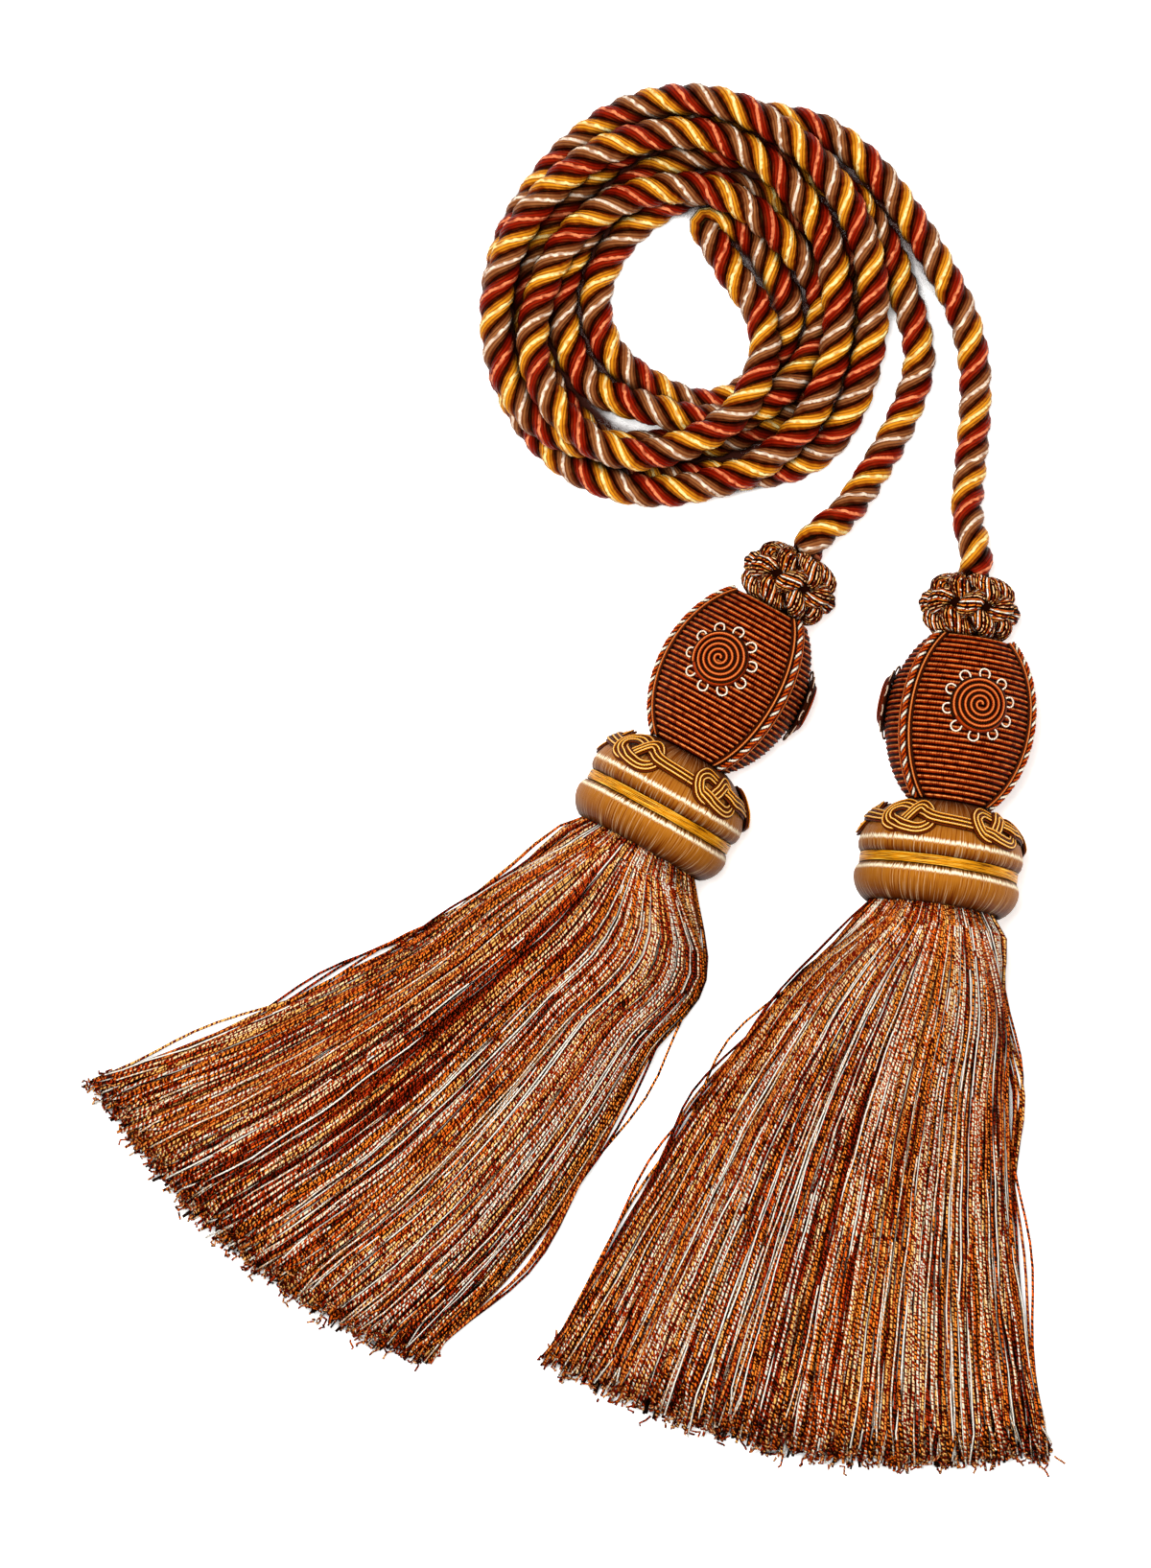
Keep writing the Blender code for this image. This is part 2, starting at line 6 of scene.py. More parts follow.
import bmesh
import bpy
import numpy as np
from mathutils import Matrix, Vector

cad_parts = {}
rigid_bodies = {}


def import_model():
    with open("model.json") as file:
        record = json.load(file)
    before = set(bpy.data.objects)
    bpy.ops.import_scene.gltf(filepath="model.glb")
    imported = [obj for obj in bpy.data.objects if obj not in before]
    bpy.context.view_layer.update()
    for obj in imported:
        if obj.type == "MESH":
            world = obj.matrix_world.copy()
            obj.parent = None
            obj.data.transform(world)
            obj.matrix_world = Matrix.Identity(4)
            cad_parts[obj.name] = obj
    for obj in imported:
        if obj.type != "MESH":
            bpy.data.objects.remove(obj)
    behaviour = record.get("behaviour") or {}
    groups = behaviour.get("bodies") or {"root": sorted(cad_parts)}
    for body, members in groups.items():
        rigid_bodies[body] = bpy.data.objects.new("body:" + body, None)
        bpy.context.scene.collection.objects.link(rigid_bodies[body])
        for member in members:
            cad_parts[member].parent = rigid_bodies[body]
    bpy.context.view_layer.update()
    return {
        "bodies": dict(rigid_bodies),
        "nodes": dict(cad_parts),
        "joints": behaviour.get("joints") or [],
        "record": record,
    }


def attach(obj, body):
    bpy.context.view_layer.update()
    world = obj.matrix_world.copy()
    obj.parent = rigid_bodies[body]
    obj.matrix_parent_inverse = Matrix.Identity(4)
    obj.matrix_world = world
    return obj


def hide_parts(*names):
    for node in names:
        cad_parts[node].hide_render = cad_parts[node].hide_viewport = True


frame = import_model()

MM = 0.001
TURN = 2 * math.pi

# Photograph: straight down through a long lens
VIEW_MIDDLE = (1.2 * MM, 69.8 * MM)
VIEW_HEIGHT = 490.5 * MM
CAMERA_HEIGHT = 7.0

# Cord, laid as the solid cord is. Columns: bearing clockwise from +Y, radius and height in mm.
CORD_DIAMETER = 10.0 * MM
CORD_LAY = 23.0 * MM
STRAND_RADIUS = 2.78 * MM
STRAND_OFFSET = 2.52 * MM           # from the cord's middle to each strand's
STRAND_COLOURS = ("#8A1604", "#DA8C1A", "#945A30")
# Painted highlight colours, for the line along each strand's crest
STRAND_HIGHLIGHT_COLOURS = ("#F08858", "#FFE89C", "#F2DCC4")
ROUTE_STEP = 1.2                    # between the cord's rings, in mm
COIL_CENTRE = (35.7, 220.5)
INNER_TURNS = (
    (14, 25.2, 6.5), (36, 18.6, 7), (62, 17.1, 8), (94, 21.9, 10.5), (110, 25.8, 13.8),
    (123, 29.4, 17.3), (136, 32.4, 21.3), (150, 36.6, 24.8), (162, 39.9, 25.6), (177, 43.8, 25.6),
    (190, 48, 25.6), (201, 51.3, 25.6), (215, 52.8, 25.6), (230, 52.5, 25.2), (247, 51, 20.7),
    (262, 48, 17), (280, 44.1, 15.3), (299, 41.4, 15.3), (319, 38.4, 15.3), (344, 36, 15.3),
    (368, 35.4, 15.3), (390, 35.1, 15.3), (405, 35.1, 15), (417, 36.3, 12.6), (426, 37.8, 10.6),
    (435, 39.9, 8.4), (448, 42.6, 5.2), (460, 42.9, 5), (470, 42.6, 5.8), (482, 42, 10),
    (495, 40.8, 13.6), (510, 39.9, 15.3), (525, 38.4, 15.3), (540, 36.6, 15.3), (552, 35.4, 15),
    (562, 35.4, 13.5), (574, 36.9, 9.8), (588, 39, 5.6), (604, 39.1, 5), (625, 38.9, 5), (641, 38.6, 5),
    (660, 38.1, 5), (675, 38.2, 5), (690, 39.4, 5), (705, 41.7, 5), (720, 45, 5), (735, 48.4, 5),
    (750, 51.6, 5), (764, 56.1, 5), (777, 61.2, 5),
)
OUTER_TURNS = (
    (28, 28.8, 5.3), (44, 28.8, 5), (64, 28.5, 5), (76, 29.4, 5), (89, 31.5, 5), (100, 32.3, 5),
    (119, 32.7, 5), (139, 33.6, 5), (163, 33.3, 5), (177, 31.8, 5), (190, 29.7, 5), (205, 28.2, 5),
    (222, 27.9, 5), (240, 28.2, 5), (260, 28.2, 5), (280, 28, 5), (300, 27.6, 5), (317, 28, 5),
    (334, 29.1, 5), (350, 31.5, 5), (362, 33.9, 5), (375, 37.3, 5), (390, 39.8, 5), (405, 41.4, 5),
    (418, 44.7, 5), (430, 48.9, 5), (442, 52.5, 5), (455, 54, 5), (468, 53.4, 5), (482, 51.3, 5),
    (495, 47.4, 5), (510, 45, 5), (525, 44.4, 5), (538, 44.4, 5.3), (548, 45.3, 8.2), (556, 47.1, 12.2),
    (564, 49.8, 14.8), (574, 53.7, 15.5), (584, 57.6, 15.5), (594, 60, 15.4), (607, 60.6, 15.4),
    (625, 59.7, 15.4), (646, 57.3, 15.4), (664, 55.2, 15.3), (688, 53.7, 15.3), (710, 52.8, 15.3),
    (730, 52.2, 15.3), (748, 50.1, 15.3), (766, 48.3, 15.3), (787, 47.7, 15.3), (810, 47.4, 15.3),
    (821, 48.3, 15.3), (835, 49.8, 15.3), (855, 53.1, 15.3), (878, 56.1, 15.3), (900, 58.5, 15.3),
    (913, 60.6, 14), (925, 61.8, 10.4), (937, 62.4, 6.2), (951, 62.1, 5), (970, 60.9, 5),
    (990, 59.4, 5), (1010, 58.5, 5), (1033, 58.5, 5), (1047, 60, 5.2), (1061, 62, 7), (1074, 63, 10.5),
    (1087, 63, 14.2), (1100, 61.8, 15.3), (1120, 60, 15.3), (1145, 58.8, 15.3), (1164, 58.5, 15.3),
    (1180, 58.8, 15.3), (1194, 60, 15), (1205, 61.5, 12.2), (1217, 62.7, 7.2), (1228, 60.9, 5),
    (1237, 57.9, 5), (1250, 55.2, 5), (1265, 55.1, 5), (1278, 53.9, 5), (1290, 51.7, 5),
    (1305, 50.5, 5), (1325, 49.9, 5), (1345, 49.3, 5), (1365, 48.6, 5), (1385, 48.3, 5),
    (1400, 48.9, 5), (1415, 50.7, 5), (1430, 53.4, 5), (1445, 57, 5), (1460, 61.8, 5), (1470, 65.1, 5),
)
FOLD_POINT = (44.7, 246.3, 5.8)
ENTRY_STRAIGHT = 5.5                # of the cord, before it enters a knot, in mm

# Tails, from the coil towards each tassel's knot: x, y and height in mm.
TAILS = {
    "left": (
        (92.7, 247.2, 5), (97.2, 239.7, 5), (100.8, 232.2, 5), (103.2, 225, 5), (105.8, 217.5, 5),
        (107.8, 210, 5), (108.6, 202.2, 5), (107.1, 194.1, 5), (103.8, 185.1, 5.6), (99.6, 176.4, 7.6),
        (94.8, 168.3, 10.8), (90, 160.8, 14.6), (84.6, 153.6, 18.8)),
    "right": (
        (76.8, 274.8, 5), (84.6, 270.3, 5), (91.8, 264.3, 5), (99, 256.2, 5), (105.6, 246.9, 5),
        (111.3, 237.9, 5), (116.4, 228.6, 5), (121.2, 219, 5), (124.3, 209.4, 5), (125.9, 199.8, 5),
        (126.1, 189, 5), (125.5, 178.2, 5.2), (124.3, 166.2, 7.4), (123.6, 154, 12.4)),
}

# Tassels, in mm. Along each one's axis, distances run from the egg's middle towards the skirt.
GAP = 0.3
EGG_RADIUS = 22.9
EGG_ELLIPSE = 31.0                  # half the length that the egg would have with its ends on
EGG_END = 26.0
EGG_SIDES = 72
RIB_PITCH = 1.75
RIB_ROWS = 8                        # of points over each turn of gimp
PANEL_ANGLE = 120.0
CAP_START = EGG_END + GAP
CAP_LENGTH = 33.0

# Head knots: a ball plaited from one thick lead of threads, over and under itself by turns
KNOT_RADIUS = 14.5
KNOT_LENGTH = 19.4
KNOT_ENDS = (66.0, 54.0)            # how far the ball curves in at each end, in degrees
KNOT_ROUNDNESS = 0.66
HEAD_LEADS, HEAD_BIGHTS = 4, 7
LEAD_POINTS = 380
LEAD_RADIUS = 2.75
LEAD_RISE = 2.6                     # over or under where it crosses itself
LEAD_LAY = 12.0
THREAD_RADIUS = 0.33

# Borders' side cords: distance aside, lift, radius, colour and the painted highlight colour on its crest
BORDER_SIDES = (
    (1.4, 0.3, 0.5, "#2E0803", "#2E0803"),
    (2.1, 0.6, 0.4, "#B8480C", "#E09450"),
    (2.75, 0.2, 0.4, "#2E0803", "#2E0803"),
)

# Medallions: a coil of gimp, a rim and picot loops. One loop is given by distance out and aside.
MEDALLION_STATION = -3.6
COIL_TURNS = (0.25, 4.85)
COIL_PITCH = 1.6
RIM_RADIUS = 7.7
PICOTS = 10
PICOT_LOOP = ((8.2, -1.0, 0), (8.9, -1.35, 0), (9.7, -1.5, 0), (10.6, -1.25, 0), (11.1, 0, 0),
              (10.6, 1.25, 0), (9.7, 1.5, 0), (8.9, 1.35, 0), (8.2, 1.0, 0))

# Trim: flat knots round the cap's shoulder. One knot's route is x along the trim and y across it.
TRIM_KNOTS = 5
TRIM_STATION = 7.6
TRIM_REACH = 23.0                   # the shoulder's radius there
TRIM_RISE = 0.62                    # over or under at a crossing
TRIM_ROUTE = (
    (-10.6, 0.2), (-7.4, 0.3), (-4.0, 2.0), (0.2, 3.5), (4.6, 3.6), (7.2, 1.3), (6.2, -2.2),
    (3.1, -3.2), (0.0, 0.0), (-3.1, 3.2), (-6.2, 2.2), (-7.2, -1.3), (-4.6, -3.6), (-0.2, -3.5),
    (4.0, -2.0), (7.4, -0.3), (10.6, -0.2),
)

# Band: rounds of metal thread in the cap's groove, from its top
BAND_START, BAND_WIDTH = 18.5, 3.1
BAND_BED, BAND_TOP = 24.0, 24.75    # radii
BAND_ROUNDS, BAND_ROWS = 6, 5

# Skirts
HEADING_RADIUS = 20.3
HEADING_DEPTH = 2.2                 # inside the cap
LIP_DROP = 2.6                      # from the heading to the cap's lip
FLARE_DROP, FLARE_OUT = 6.0, 4.6    # from the lip to where the yarns have spread
CROWN_FALL = 0.45                   # share of the height lost at a skirt's edges
SKIRT_YARNS = 250                   # across the skirt
LAYER_HEIGHTS = (-1.0, -0.35, 0.3, 0.75, 1.0)   # share of the skirt's half thickness
YARN_STEPS = 24                     # points along each yarn
YARN_RADII = (0.42, 0.54)           # at the cap and at the cut end
STRAY_YARNS = 12                    # at each edge
FRAYED_ENDS = 560

# The cap's turned outline: distance from its top and radius.
CAP_TOP = ((0.0, 13.0), (1.0, 15.4), (2.2, 17.4), (3.8, 19.4), (5.8, 21.4), (8.0, 23.2),
           (10.5, 24.7), (13.0, 25.6), (15.2, 25.9), (17.0, 25.6), (18.1, 24.9), (18.4, 24.1))
CAP_FOOT = ((21.7, 24.1), (22.0, 24.9), (23.0, 25.6), (24.6, 26.0), (26.4, 25.9), (28.4, 25.3),
            (30.2, 24.3), (31.8, 22.9), (32.8, 21.5), (33.0, 20.6), (32.4, 20.2), (30.4, 20.2))
CAP_RIDGES, CAP_SIDES = 150, 300
RIDGE_DEPTH = 0.0035                # share of the cap's radius

# Each tassel: its egg's middle, the axis's turn and rise, the turn of its first panel and of its
# first trim knot about the axis, in degrees, and how far its head knot is off the axis.
TASSELS = {
    "left": dict(egg=(49.7, 101.7, 25.0), turn=29.0, rise=1.8, panel=-16.0, trim=33.0,
                 knot_aside=1.0, seed=11),
    "right": dict(egg=(120.8, 89.1, 25.0), turn=8.2, rise=6.0, panel=12.5, trim=42.0,
                  knot_aside=-1.8, seed=23),
}
# Skirts: share of the length, the left and right edges' x and y, the underside's and top's height.
# Bow is how far the cut ends curve out past a straight line.
SKIRTS = {
    "left": dict(bow=11.6, rows=(
        (0.12, -14.4, 44.1, 40.2, 19.5, 1.2, 43.0),
        (0.35, -50.4, 19.5, 23.7, -14.4, 0.0, 30.0),
        (0.68, -103.8, -6.6, -12.3, -72.9, 0.0, 18.0),
        (1.00, -150.9, -23.4, -47.4, -111.9, 0.0, 10.5))),
    "right": dict(bow=13.5, rows=(
        (0.12, 80.7, 18.0, 133.5, 8.4, 4.5, 47.0),
        (0.35, 53.7, -12.9, 135.6, -30.0, 0.0, 31.0),
        (0.68, 25.2, -54.9, 139.2, -85.5, 0.0, 18.0),
        (1.00, -9.3, -112.5, 149.1, -142.2, 0.0, 10.5))),
}
HEADING_SHARES = (0.0, 0.03, 0.06)  # of the length, at the heading, the lip and the flare

# Dyed threads, sRGB
DEEP_RED = "#8A1604"
RUST = "#A83408"
ORANGE = "#CC560E"
GOLD = "#DA8C1A"
PALE_GOLD = "#EBBE62"
CREAM = "#F2E4CC"
MAROON = "#2E0803"
DEEP_GAP = "#120201"                # where no light reaches between threads

# A head knot's threads, one ply and the other
HEAD_COLOURS = (
    ("#FFFAF0", "#F0C890"), ("#4A0E03", "#140201"), ("#EC7C20", "#6A1404"), ("#160301", "#0C0100"),
    ("#FFF0D8", "#8A2A08"), ("#B43E0C", "#D87C28"), ("#1C0401", "#140201"), ("#FFB860", "#8A2A08"),
    ("#2A0502", "#2A0502"), ("#FFC890", "#5A1204"), ("#140201", "#0C0100"), ("#D86420", "#A84410"),
)
# One ply and the other of each skirt yarn, in a ring from light to dark and back. The first are cream.
YARN_COLOURS = (
    ("#FFF8EC", "#FFF0DC"), ("#FFF4E4", "#E8B080"), (CREAM, "#A8340C"), ("#FFB860", "#640E04"),
    ("#E86018", "#440902"), ("#AC2E0C", "#200401"), ("#7E1604", "#180301"), ("#7A1404", "#E07C30"),
    ("#F88428", "#340702"), ("#FFD8A0", DEEP_RED), ("#FFE8C4", "#BC4414"),
)
CREAM_YARNS, CREAM_WIDTH = 2, 0.66  # how many of them are thinner, and their share of the width
FRAY_COLOURS = (("#9A2A08", "#3A0802"), ("#E0A468", "#8A2A08"), (ORANGE, "#5A0E02"),
                ("#D88C4C", DEEP_RED))
# One turn of gimp across, as a share of its width: a gap of painted shade, rust, a painted highlight
# line, rust, and a gap of painted shade.
RIB_COLOURS_WITH_PAINTED_LIGHT = ((0.0, "#160202"), (0.08, "#4E1204"), (0.17, "#AC3A06"), (0.25, "#F0A860"),
               (0.36, "#E88C40"), (0.44, "#B03806"), (0.64, "#821E04"), (0.74, "#200402"),
               (0.86, "#100101"))
# Colours of the satin along the cap's outline, in mm from its top edge, with painted light: a near-white
# painted highlight line at each roll's crest, and painted shade at the top edge, in the groove under the
# band and towards the foot.
SATIN_LENGTH = 46.0
SATIN_COLOURS_WITH_PAINTED_LIGHT = (
    (0.0, "#3A1404"), (4.0, "#6A340C"), (8.0, "#8C5018"), (14.0, "#98591A"), (19.0, "#A0601A"),
    (19.8, "#FFEFCC"), (20.1, "#FFEFCC"), (20.7, "#A4641C"), (23.6, "#602C06"), (24.9, "#300E02"),
    (28.4, "#300E02"), (29.8, "#8A5416"), (30.6, "#FFEFCC"), (30.9, "#FFEFCC"), (31.5, "#A4641C"),
    (36.0, "#8A5014"), (39.5, "#622E08"), (42.0, "#3A1402"), (SATIN_LENGTH, "#1A0601"),
)


def linear(code):
    """An sRGB hex colour as the linear values that a shader takes."""
    values = [int(code[start:start + 2], 16) / 255 for start in (1, 3, 5)]
    return tuple(v / 12.92 if v <= 0.04045 else ((v + 0.055) / 1.055) ** 2.4 for v in values) + (1.0,)


# Materials

SMOOTH = dict(interpolation_type="SMOOTHSTEP")
COLOURS = dict(data_type="RGBA")
MULTIPLIED = dict(data_type="RGBA", blend_type="MULTIPLY")
SCREENED = dict(data_type="RGBA", blend_type="SCREEN")


def feed(socket, value):
    """Give a socket a constant, another node's socket, or a node, for its first output in use."""
    if isinstance(value, bpy.types.Node):
        value = next(output for output in value.outputs if output.enabled)
    if isinstance(value, bpy.types.NodeSocket):
        socket.id_data.links.new(value, socket)
    else:
        socket.default_value = value


def add_node(tree, kind, sockets=(), **settings):
    """Add one shader node. Its sockets are given by name, or in the order of those in use."""
    node = tree.nodes.new("ShaderNode" + kind)
    for name, value in settings.items():
        setattr(node, name, value)
    if not isinstance(sockets, dict):
        in_use = [number for number, socket in enumerate(node.inputs) if socket.enabled]
        sockets = dict(zip(in_use, sockets))
    for place, value in sockets.items():
        feed(node.inputs[place], value)
    return node


def new_material(name, **constants):
    """A material, its shader, and add_node for its tree."""
    material = bpy.data.materials.new(name)
    material.use_nodes = True
    shader = material.node_tree.nodes["Principled BSDF"]
    for socket, value in constants.items():
        shader.inputs[socket.replace("_", " ")].default_value = value
    return material, shader, partial(add_node, material.node_tree)


def thread_place(add):
    """Place on a thread, from its UV map: X is the share of the way round, and Y is mm along."""
    return add("SeparateXYZ", (add("UVMap"),)).outputs


def twist_phase(add, place, turns, lay):
    """Turns of the plies that wind round a thread, which has so many plies and such a lay in mm."""
    along = add("Math", (place["Y"], lay), operation="DIVIDE")
    return add("Math", (place["X"], turns, along), operation="MULTIPLY_ADD")


def wave(add, phase, shape="SINE"):
    """A wave from 0 to 1, once for each whole number of the phase."""
    angle = add("Math", (phase, TURN), operation="MULTIPLY")
    return add("Math", (add("Math", (angle,), operation=shape), 0.5, 0.5), operation="MULTIPLY_ADD")


def crest_of(add, share):
    """1 on the side of a strand that faces out of its cord, and 0 on the side that faces in."""
    return wave(add, share, "COSINE")


def thread_noise(add, across, along, detail):
    """Uneven patches drawn out along threads: how many there are for each turn and for each mm."""
    lanes = add("VectorMath", (add("UVMap"), (across, along, 0.0)), operation="MULTIPLY")
    return add("TexNoise", {"Vector": lanes, "Scale": 1.0, "Detail": detail})


def set_stops(elements, stops):
    """Give a colour ramp its stops. The first of them is at 0."""
    elements.remove(elements[1])
    elements[0].color = linear(stops[0][1])
    for place, code in stops[1:]:
        elements.new(place).color = linear(code)


def paint_gap_shade_and_bump(add, shader, colour, reach, relief, depth, dark=0.05, clear=0.65):
    """Colour and relief of a thread surface, with painted shade: the colour goes near black deep between
    threads.

    Reach is how wide a gap still gets this painted shade. Between dark and clear, the open share of sky
    lets the colour show.
    """
    hollow = add("AmbientOcclusion", {"Distance": reach}, samples=6).outputs["AO"]
    light = add("MapRange", (hollow, dark, clear, 0.03, 1.0), **SMOOTH)
    shown = add("Mix", (light, linear(DEEP_GAP), colour), **COLOURS)
    bump = add("Bump", {"Strength": 1.0, "Distance": depth, "Height": relief})
    feed(shader.inputs["Base Color"], shown)
    feed(shader.inputs["Normal"], bump)


def viscose_strand():
    """Satin viscose strand of fine filaments twisted hard, with a painted highlight line on its crest
    and painted shade on its sides and between strands.
    """
    material, shader, add = new_material(
        "satin viscose strand", Roughness=0.5, Specular_IOR_Level=0.12, Specular_Tint=linear(PALE_GOLD))
    place = thread_place(add)
    filaments = wave(add, twist_phase(add, place, 14, 30.0))
    uneven = thread_noise(add, 0.0, 0.45, 2.0)
    wander = add("Math", (uneven, 0.11, -0.055), operation="MULTIPLY_ADD")
    crest = crest_of(add, add("Math", (place["X"], wander), operation="ADD"))
    tint = add("VertexColor", layer_name="tint")
    # Painted shade: darker down the sides that face into the cord, near black in the valleys between
    # strands.
    deep = add("Mix", (1.0, tint, linear("#8A4A2C")), **MULTIPLIED)
    upper = add("MapRange", (crest, 0.72, 0.98), **SMOOTH)
    body = add("Mix", (upper, deep, tint), **COLOURS)
    edge = add("MapRange", (crest, 0.55, 0.77), **SMOOTH)
    body = add("Mix", (edge, linear("#140201"), body), **COLOURS)
    between = add("MapRange", (filaments, 0.05, 0.4, 0.7, 0.0), **SMOOTH)
    line = add("Mix", (1.0, body, linear("#8A3A20")), **MULTIPLIED)
    lined = add("Mix", (between, body, line), **COLOURS)
    # Painted highlight: a broken line along the crest, in the ply colour, which holds this strand's
    # highlight colour.
    top = add("MapRange", (crest, 0.986, 0.998), **SMOOTH)
    broken = add("MapRange", (uneven, 0.35, 0.6, 0.3, 1.0), **SMOOTH)
    light = add("Math", (top, broken), operation="MULTIPLY")
    pale = add("VertexColor", layer_name="ply")
    colour = add("Mix", (light, lined, pale), **COLOURS)
    paint_gap_shade_and_bump(add, shader, colour, 9.0 * MM, filaments, 0.25 * MM, 0.1, 0.8)
    return material


def twisted_yarn(name, lay, reach):
    """Two-ply yarn: a light and a dark ply wind round each other and show as fine dashes. Painted shade
    darkens its sides and the grooves between its plies.
    """
    material, shader, add = new_material(
        name, Roughness=0.7, Specular_IOR_Level=0.05, Specular_Tint=linear(PALE_GOLD))
    place = thread_place(add)
    uneven = thread_noise(add, 0.0, 0.5, 1.0)
    phase = add("Math", (uneven, 2.5, twist_phase(add, place, 1, lay)), operation="MULTIPLY_ADD")
    plies = wave(add, phase)
    shift = add("Math", (uneven, 0.8, -0.42), operation="MULTIPLY_ADD")
    edge = add("Math", (plies, shift), operation="ADD")
    edge = add("MapRange", (edge, 0.4, 0.6), **SMOOTH)
    groove = add("Math", (plies, 2.0, -1.0), operation="MULTIPLY_ADD")
    groove = add("Math", (groove,), operation="ABSOLUTE")
    first, second = (add("VertexColor", layer_name=ply) for ply in ("ply", "tint"))
    colour = add("Mix", (edge, first, second), **COLOURS)
    # Painted shade: near black on the yarn's sides and in the grooves between its plies.
    side = add("MapRange", (crest_of(add, place["X"]), 0.755, 0.9), **SMOOTH)
    open_groove = add("MapRange", (groove, 0.0, 0.2, 0.6, 1.0), **SMOOTH)
    lit = add("Math", (side, open_groove), operation="MULTIPLY")
    colour = add("Mix", (lit, linear("#1C0401"), colour), **COLOURS)
    paint_gap_shade_and_bump(add, shader, colour, reach, groove, 0.15 * MM, 0.05, 0.6)
    return material


def gimp_cord():
    """Gimp: a core wrapped closely with fine thread, so it looks smooth with tiny cross lines. Its
    colour has painted shade on the side that faces in and a painted highlight on its crest.
    """
    material, shader, add = new_material(
        "wrapped gimp cord", Roughness=0.6, Specular_IOR_Level=0.12, Specular_Tint=linear(PALE_GOLD))
    place = thread_place(add)
    wraps = wave(add, twist_phase(add, place, 1, 0.8))
    tint = add("VertexColor", layer_name="tint")
    crest = crest_of(add, place["X"])
    dark = add("Mix", (1.0, tint, linear("#7A4638")), **MULTIPLIED)
    wrapped = add("Math", (wraps, 0.45, 0.55), operation="MULTIPLY_ADD")
    body = add("Mix", (wrapped, dark, tint), **COLOURS)
    # Painted shade on the side that faces in; painted highlight on the crest, in the ply colour, which
    # holds the cord's highlight colour.
    side = add("MapRange", (crest, 0.5, 0.85), **SMOOTH)
    body = add("Mix", (side, linear(MAROON), body), **COLOURS)
    light = add("MapRange", (crest, 0.93, 1.0, 0.0, 0.8), **SMOOTH)
    pale = add("VertexColor", layer_name="ply")
    colour = add("Mix", (light, body, pale), **COLOURS)
    paint_gap_shade_and_bump(add, shader, colour, 3.0 * MM, wraps, 0.1 * MM, 0.15, 0.7)
    return material


def ribbed_gimp():
    """Rust gimp wound side by side over the mould: a painted highlight line on each turn's crest and a
    gap of painted shade by it.
    """
    material, shader, add = new_material(
        "wound rust gimp", Roughness=0.7, Specular_IOR_Level=0.03, Specular_Tint=linear(ORANGE))
    place = thread_place(add)
    rib = add("ValToRGB", (add("Math", (place["Y"],), operation="FRACT"),))
    set_stops(rib.color_ramp.elements, RIB_COLOURS_WITH_PAINTED_LIGHT)
    wraps = wave(add, add("Math", (place["X"], 150.0), operation="MULTIPLY"))
    uneven = thread_noise(add, 60.0, 0.9, 3.0)
    dark = add("Mix", (1.0, rib, linear("#8A5A48")), **MULTIPLIED)
    dim = add("Math", (wraps, 0.14, uneven), operation="MULTIPLY_ADD")
    dim = add("MapRange", (dim, 0.4, 0.8), **SMOOTH)
    colour = add("Mix", (dim, rib, dark), **COLOURS)
    paint_gap_shade_and_bump(add, shader, colour, 2.5 * MM, wraps, 0.08 * MM)
    return material


def laid_satin():
    """Gold satin threads laid lengthwise over the cap's mould, with a painted highlight line on each
    roll's crest, painted shade in the hollows and pale painted highlight streaks on some threads.
    """
    material, shader, add = new_material(
        "laid gold satin thread", Roughness=0.42, Anisotropic=0.8, Specular_IOR_Level=0.12,
        Specular_Tint=linear(GOLD))
    place = thread_place(add)
    threads = thread_noise(add, 330.0, 0.06, 3.0)
    ragged = add("Math", (threads, 3.2, -1.6), operation="MULTIPLY_ADD")
    along = add("Math", (place["Y"], ragged), operation="ADD")
    along = add("Math", (along, SATIN_LENGTH), operation="DIVIDE")
    satin = add("ValToRGB", (along,))
    set_stops(satin.color_ramp.elements, [(mm / SATIN_LENGTH, code) for mm, code in SATIN_COLOURS_WITH_PAINTED_LIGHT])
    dark = add("Mix", (1.0, satin, linear("#B88860")), **MULTIPLIED)
    body = add("MapRange", (threads, 0.34, 0.5), **SMOOTH)
    thread = add("Mix", (body, dark, satin), **COLOURS)
    # Painted highlights: lighter streaks on some threads.
    pale = add("Mix", (1.0, satin, linear("#A08868")), **SCREENED)
    streak = add("MapRange", (threads, 0.54, 0.68, 0.0, 0.75), **SMOOTH)
    colour = add("Mix", (streak, thread, pale), **COLOURS)
    paint_gap_shade_and_bump(add, shader, colour, 4.0 * MM, threads, 0.25 * MM)
    feed(shader.inputs["Tangent"], add("Tangent", direction_type="UV_MAP"))
    return material


def metal_thread():
    """Metallic gold thread wound tightly in narrow lines round the band. Its shine is painted: painted
    highlights on some wires, painted shade between them.
    """
    material, shader, add = new_material(
        "wound metallic gold thread", Metallic=0.15, Roughness=0.4, Specular_IOR_Level=0.1)
    wires = thread_noise(add, 16.0, 3.2, 3.0)
    # Painted shade between the wires and painted highlights on some of them.
    body = add("MapRange", (wires, 0.36, 0.5), **SMOOTH)
    colour = add("Mix", (body, linear("#4E2000"), linear("#D68A08")), **COLOURS)
    bright = add("MapRange", (wires, 0.55, 0.7), **SMOOTH)
    colour = add("Mix", (bright, colour, linear("#FFDC60")), **COLOURS)
    paint_gap_shade_and_bump(add, shader, colour, 2.0 * MM, wires, 0.3 * MM)
    return material


